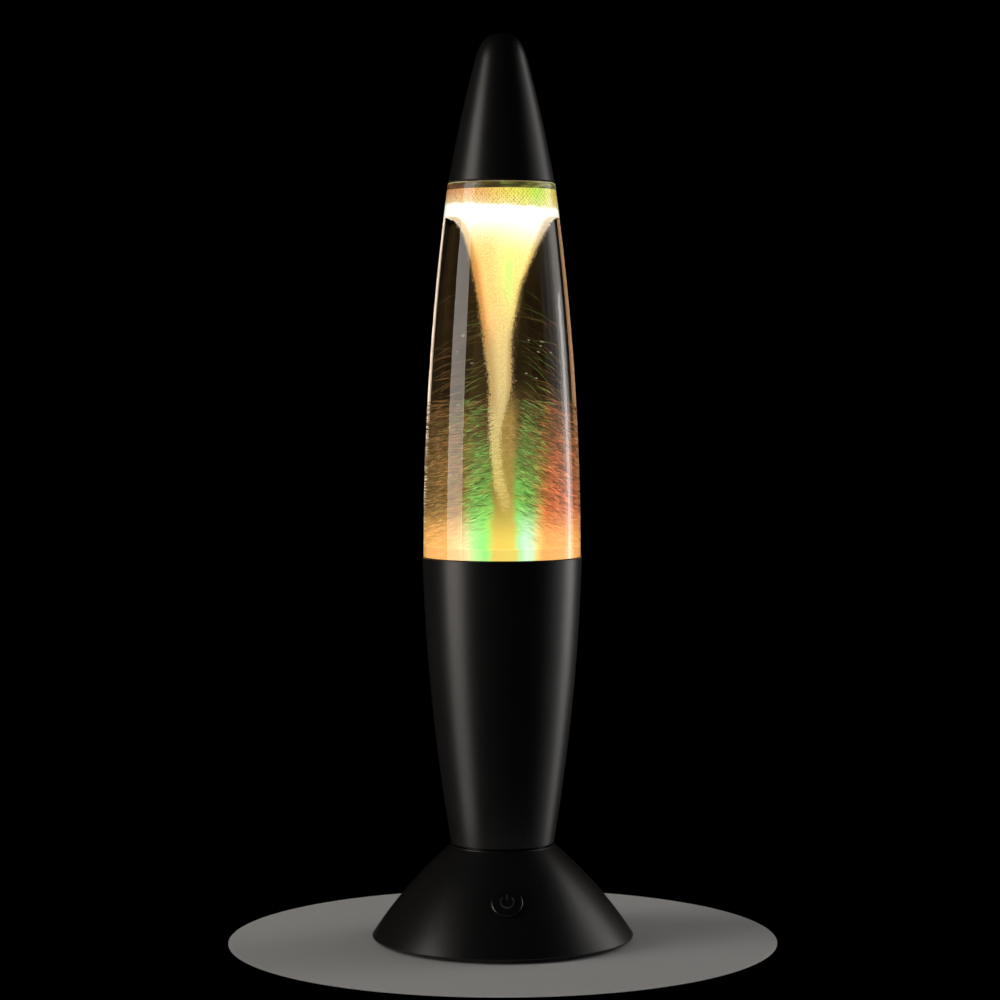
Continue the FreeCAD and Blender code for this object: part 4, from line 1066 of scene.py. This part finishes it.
AMBER_COLUMNS = ((1.4 * MM, 0.24), (2.1 * MM, 0.19), (2.7 * MM, 0.14), (3.2 * MM, 0.09), (3.7 * MM, 0.05))
COLUMN_LOW = 152.4 * MM
COLUMN_HIGH = 226 * MM
for number, (radius, cover) in enumerate(AMBER_COLUMNS, 1):
    column_line = bowed((radius, COLUMN_LOW), (radius, COLUMN_HIGH), 0.2 * MM, 24)
    column = spin("amber_column_%d" % number, column_line, [finish("amber_column", amber_column(cover))],
                  segments=48, centre_of=column_middle, closed=False)
    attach(column, "bead_swirl")
print("glow:", len(GLOW_SHEETS), "sheets and", len(AMBER_COLUMNS), "columns")

# %% [markdown]
# The vessel's floor is a clear disc over the light ring, so it burns brightest of all. Under it are the
# light-emitting diodes, the impeller in its well and the motor. They hardly show, but each still gets a
# finish with its own grain: mottled zinc plate on the screws, glass-fibre weave under the board's lacquer,
# dusty rubber, moulded nylon.

# %% Finishes of the inner pieces
def lit_floor(tree):
    x, y, z = axes(tree)
    hue = ring_light(tree, noise(tree, 7 * MM), 4 * MM)
    lines = noise(tree, 1.4 * MM, stretch=(0.4, 0.4, 5))
    light = mix(tree, 0.2 * lines.rise(0.45, 0.60), hue, rgb(1.0, 0.80, 0.40))
    return {"Base Color": rgb(0.05, 0.045, 0.03), "Roughness": 0.4, "Specular IOR Level": 0.1,
            "Emission Strength": 1.1,
            "Emission Color": mix(tree, z.rise_mm(145, 147.5), rgb(0.25, 0.12, 0.03), light)}


GRAIN_DEEP = 0.01 * MM      # of the grain in moulded plastic and of the board's weave


def moulded(dark, light, size, rough):
    """Plain moulded plastic: a fine grain, slow clouds of colour, and a little unevenness in gloss."""
    def maker(tree):
        clouds = noise(tree, size, detail=4.0)
        grain = noise(tree, 0.3 * MM)
        return {"Base Color": mix(tree, clouds, rgb(*dark), rgb(*light)),
                "Roughness": rough + 0.12 * (clouds - 0.5),
                "Normal": bump(tree, grain, GRAIN_DEEP, 0.5)}
    return maker


def plated(dark, light, rough):
    """Plated metal: small mottled crystals and fine scratches along the piece."""
    def maker(tree):
        spangle = noise(tree, 1.1 * MM, detail=3.0)
        scratches = noise(tree, 0.5 * MM, stretch=(1, 1, 0.08))
        return {"Base Color": mix(tree, spangle, rgb(*dark), rgb(*light)), "Metallic": 1.0,
                "Roughness": rough + 0.14 * scratches,
                "Normal": bump(tree, scratches, 0.008 * MM, 0.5)}
    return maker


def circuit_board(tree):
    """Solder lacquer over woven glass: two crossed waves give the weave."""
    x, y, z = axes(tree)
    wave = 2 * math.pi / (0.6 * MM)
    threads = (x * wave).math("SINE") * (y * wave).math("SINE")
    weave = 0.5 + 0.5 * threads
    return {"Base Color": mix(tree, weave, rgb(0.010, 0.075, 0.035), rgb(0.018, 0.105, 0.050)),
            "Roughness": 0.32, "Coat Weight": 0.4, "Coat Roughness": 0.1,
            "Normal": bump(tree, weave, GRAIN_DEEP, 0.4)}


def diode(tree):
    hue = ring_light(tree, noise(tree, 6 * MM), 4 * MM)
    return {"Base Color": rgb(0.8, 0.78, 0.6), "Roughness": 0.4, "Emission Strength": 3.0,
            "Emission Color": mix(tree, 0.4, hue, rgb(1.0, 0.9, 0.6))}


def cell_jacket(tree):
    """Plain battery wrap: a broad dark band and a copper-coloured end, each a little worn."""
    x, y, z = axes(tree)
    scuffs = noise(tree, 2 * MM, detail=5.0, stretch=(0.2, 1, 1))
    band = x.rise_mm(12.0, 12.2)
    colour = mix(tree, band, rgb(0.012, 0.013, 0.016), rgb(0.42, 0.20, 0.09))
    return {"Base Color": mix(tree, 0.25 * scuffs, colour, rgb(0.25, 0.25, 0.26)),
            "Roughness": 0.28 + 0.2 * scuffs, "Metallic": 0.5}


# %% [markdown]
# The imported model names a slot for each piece's material. One table gives every slot its finish, and a
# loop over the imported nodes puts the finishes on. The nodes' shapes and places stay as they are.

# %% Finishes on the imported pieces
NYLON_DARK = moulded((0.010, 0.010, 0.011), (0.018, 0.017, 0.016), 6 * MM, 0.48)
NYLON_WHITE = moulded((0.62, 0.61, 0.57), (0.74, 0.73, 0.70), 8 * MM, 0.42)
RUBBER = moulded((0.010, 0.010, 0.010), (0.030, 0.029, 0.028), 2 * MM, 0.75)
FINISH.update({
    "dark_plastic": finish("dark_nylon", NYLON_DARK),
    "white_plastic": finish("white_nylon", NYLON_WHITE),
    "rubber_black": finish("black_rubber", RUBBER),
    "steel": finish("zinc_plate", plated((0.48, 0.48, 0.46), (0.66, 0.66, 0.65), 0.26)),
    "nickel": finish("nickel_plate", plated((0.58, 0.56, 0.50), (0.72, 0.70, 0.64), 0.18)),
    "brass_tabs": finish("brass_tabs", plated((0.60, 0.42, 0.14), (0.74, 0.55, 0.22), 0.24)),
    "circuit_board": finish("circuit_board", circuit_board),
    "led_white": finish("diode_glow", diode),
    "cell_jacket": finish("cell_wrap", cell_jacket),
    "clear_acrylic": finish("lit_floor", lit_floor),
})
dressed = 0
for name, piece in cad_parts.items():
    for slot in piece.material_slots:
        if slot.material and slot.material.name in FINISH:
            slot.material = FINISH[slot.material.name]
            dressed += 1
print("CAD nodes with a new finish:", dressed)

# %% [markdown]
# The push button stands square to the flared skirt. Its outline, with the face, the flange that holds it
# in and the stem on the switch, is turned lying flat. The skirt's slope at the button follows from the
# skirt's own arc, and gives the tilt for later.

# %% Body of the push button
BASE_TOP_RADIUS = 19.5 * MM
BASE_TOP_ROUND = 0.4 * MM
BASE_RIM_ROUND = 1.0 * MM
SKIRT_BULGE = 1.6 * MM
BUTTON_Z = 20.3 * MM
BUTTON_RADIUS = 5.95 * MM
BUTTON_PROUD = 0.9 * MM
BUTTON_ROUND = 0.5 * MM
BUTTON_DEEP = 3.9 * MM
FLANGE_RADIUS = 7.1 * MM
FLANGE_TOP = 2.9 * MM
STEM_RADIUS = 1.6 * MM
STEM_END = 5.3 * MM

base_low, base_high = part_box("base_shell")
SKIRT_TOP_Z = 36.9 * MM
skirt_start = (base_high[0], base_low[2] + BASE_RIM_ROUND)
skirt_end = (BASE_TOP_RADIUS + BASE_TOP_ROUND, SKIRT_TOP_Z - BASE_TOP_ROUND)
skirt = bowed(skirt_start, skirt_end, SKIRT_BULGE, 200)
below = max(point for point in range(len(skirt)) if skirt[point].y <= BUTTON_Z)
slope = (skirt[below + 1] - skirt[below]).normalized()
share = (BUTTON_Z - skirt[below].y) / (skirt[below + 1].y - skirt[below].y)
button_at = skirt[below].lerp(skirt[below + 1], share)
tilt = math.atan2(slope.y, -slope.x)
button_frame = Matrix.Translation((0, -button_at.x, button_at.y)) @ Matrix.Rotation(tilt, 4, "X")
print("button tilt:", round(math.degrees(tilt), 2), "degrees, radius", round(button_at.x / MM, 2), "mm")

QUARTER_BOW = 0.207         # bulge of a quarter circle's arc, as a share of its radius
crown = bowed((BUTTON_RADIUS, BUTTON_PROUD - BUTTON_ROUND), (BUTTON_RADIUS - BUTTON_ROUND, BUTTON_PROUD),
              BUTTON_ROUND * QUARTER_BOW, 6)
button_outline = [(0, -STEM_END), (STEM_RADIUS, -STEM_END), (STEM_RADIUS, -BUTTON_DEEP),
                  (FLANGE_RADIUS, -BUTTON_DEEP), (FLANGE_RADIUS, -FLANGE_TOP), (BUTTON_RADIUS, -FLANGE_TOP)]
button_outline += crown + [(0, BUTTON_PROUD)]
button_blank = spin("button_blank", button_outline, [FINISH["button_black"]], segments=96, closed=False)

# %% [markdown]
# The button wears the usual power sign, a broken ring with a bar, sunk into its face by a Boolean
# modifier. The cutter carries a paler grey, a painted highlight that stands in for the light the groove's
# edges catch. The modifier passes it on to the walls of the groove, so the sign stays readable on the
# black face. Only then is the button tilted into its place.

# %% Power sign
SIGN_RADIUS = 2.45 * MM
SIGN_LINE = 0.62 * MM
SIGN_DEEP = 0.35 * MM
SIGN_GAP = 38               # degrees to each side of the bar
SIGN_STEPS = 40
BAR_LENGTH = 2.6 * MM
BAR_WIDTH = SIGN_LINE * 1.15
BAR_IN = BAR_LENGTH * 0.15  # from the ring's line inwards to the bar's middle
SIGN_SHARP = 35             # degrees


# Painted highlight: a paler grey in the groove in place of the light its edges catch.
def sign_groove_painted_highlight(tree):
    grain = noise(tree, 0.2 * MM)
    return {"Base Color": mix(tree, grain, rgb(0.10, 0.10, 0.10), rgb(0.15, 0.15, 0.15)), "Roughness": 0.3}


def sign_cutter():
    """The broken ring and the bar of the power sign, as one mesh to cut with."""
    work = bmesh.new()
    low, high = BUTTON_PROUD - SIGN_DEEP, BUTTON_PROUD + SIGN_DEEP
    previous = None
    for step in range(SIGN_STEPS + 1):
        angle = math.radians(90 + SIGN_GAP + (360 - 2 * SIGN_GAP) * step / SIGN_STEPS)
        ring = []
        for radius, height in ((-0.5, low), (0.5, low), (0.5, high), (-0.5, high)):
            reach = SIGN_RADIUS + radius * SIGN_LINE
            ring.append(work.verts.new((reach * math.cos(angle), reach * math.sin(angle), height)))
        if previous:
            for corner in range(4):
                after = (corner + 1) % 4
                work.faces.new((previous[corner], previous[after], ring[after], ring[corner]))
        else:
            work.faces.new(ring)
        previous = ring
    work.faces.new(previous)
    bar = bmesh.ops.create_cube(work, size=1.0)["verts"]
    bmesh.ops.scale(work, verts=bar, vec=(BAR_WIDTH, BAR_LENGTH, high - low))
    bmesh.ops.translate(work, verts=bar, vec=(0, SIGN_RADIUS - BAR_IN, (low + high) / 2))
    bmesh.ops.recalc_face_normals(work, faces=work.faces)
    return add_piece("sign_cutter", mesh_of(work, "sign_cutter"), [finish("sign_groove_painted_highlight", sign_groove_painted_highlight)])


cutter = sign_cutter()
modifier = button_blank.modifiers.new("sign", "BOOLEAN")
modifier.operation, modifier.solver, modifier.object = "DIFFERENCE", "EXACT", cutter
modifier.material_mode = "TRANSFER"
graph = bpy.context.evaluated_depsgraph_get()
mesh = bpy.data.meshes.new_from_object(button_blank.evaluated_get(graph), depsgraph=graph)
bpy.data.objects.remove(button_blank)
bpy.data.objects.remove(cutter)
mesh.transform(button_frame)
mesh.set_sharp_from_angle(angle=math.radians(SIGN_SHARP))
button = add_piece("power_button_face", mesh, [])
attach(button, "button")
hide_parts("power_button")
print("button:", len(mesh.polygons), "faces")
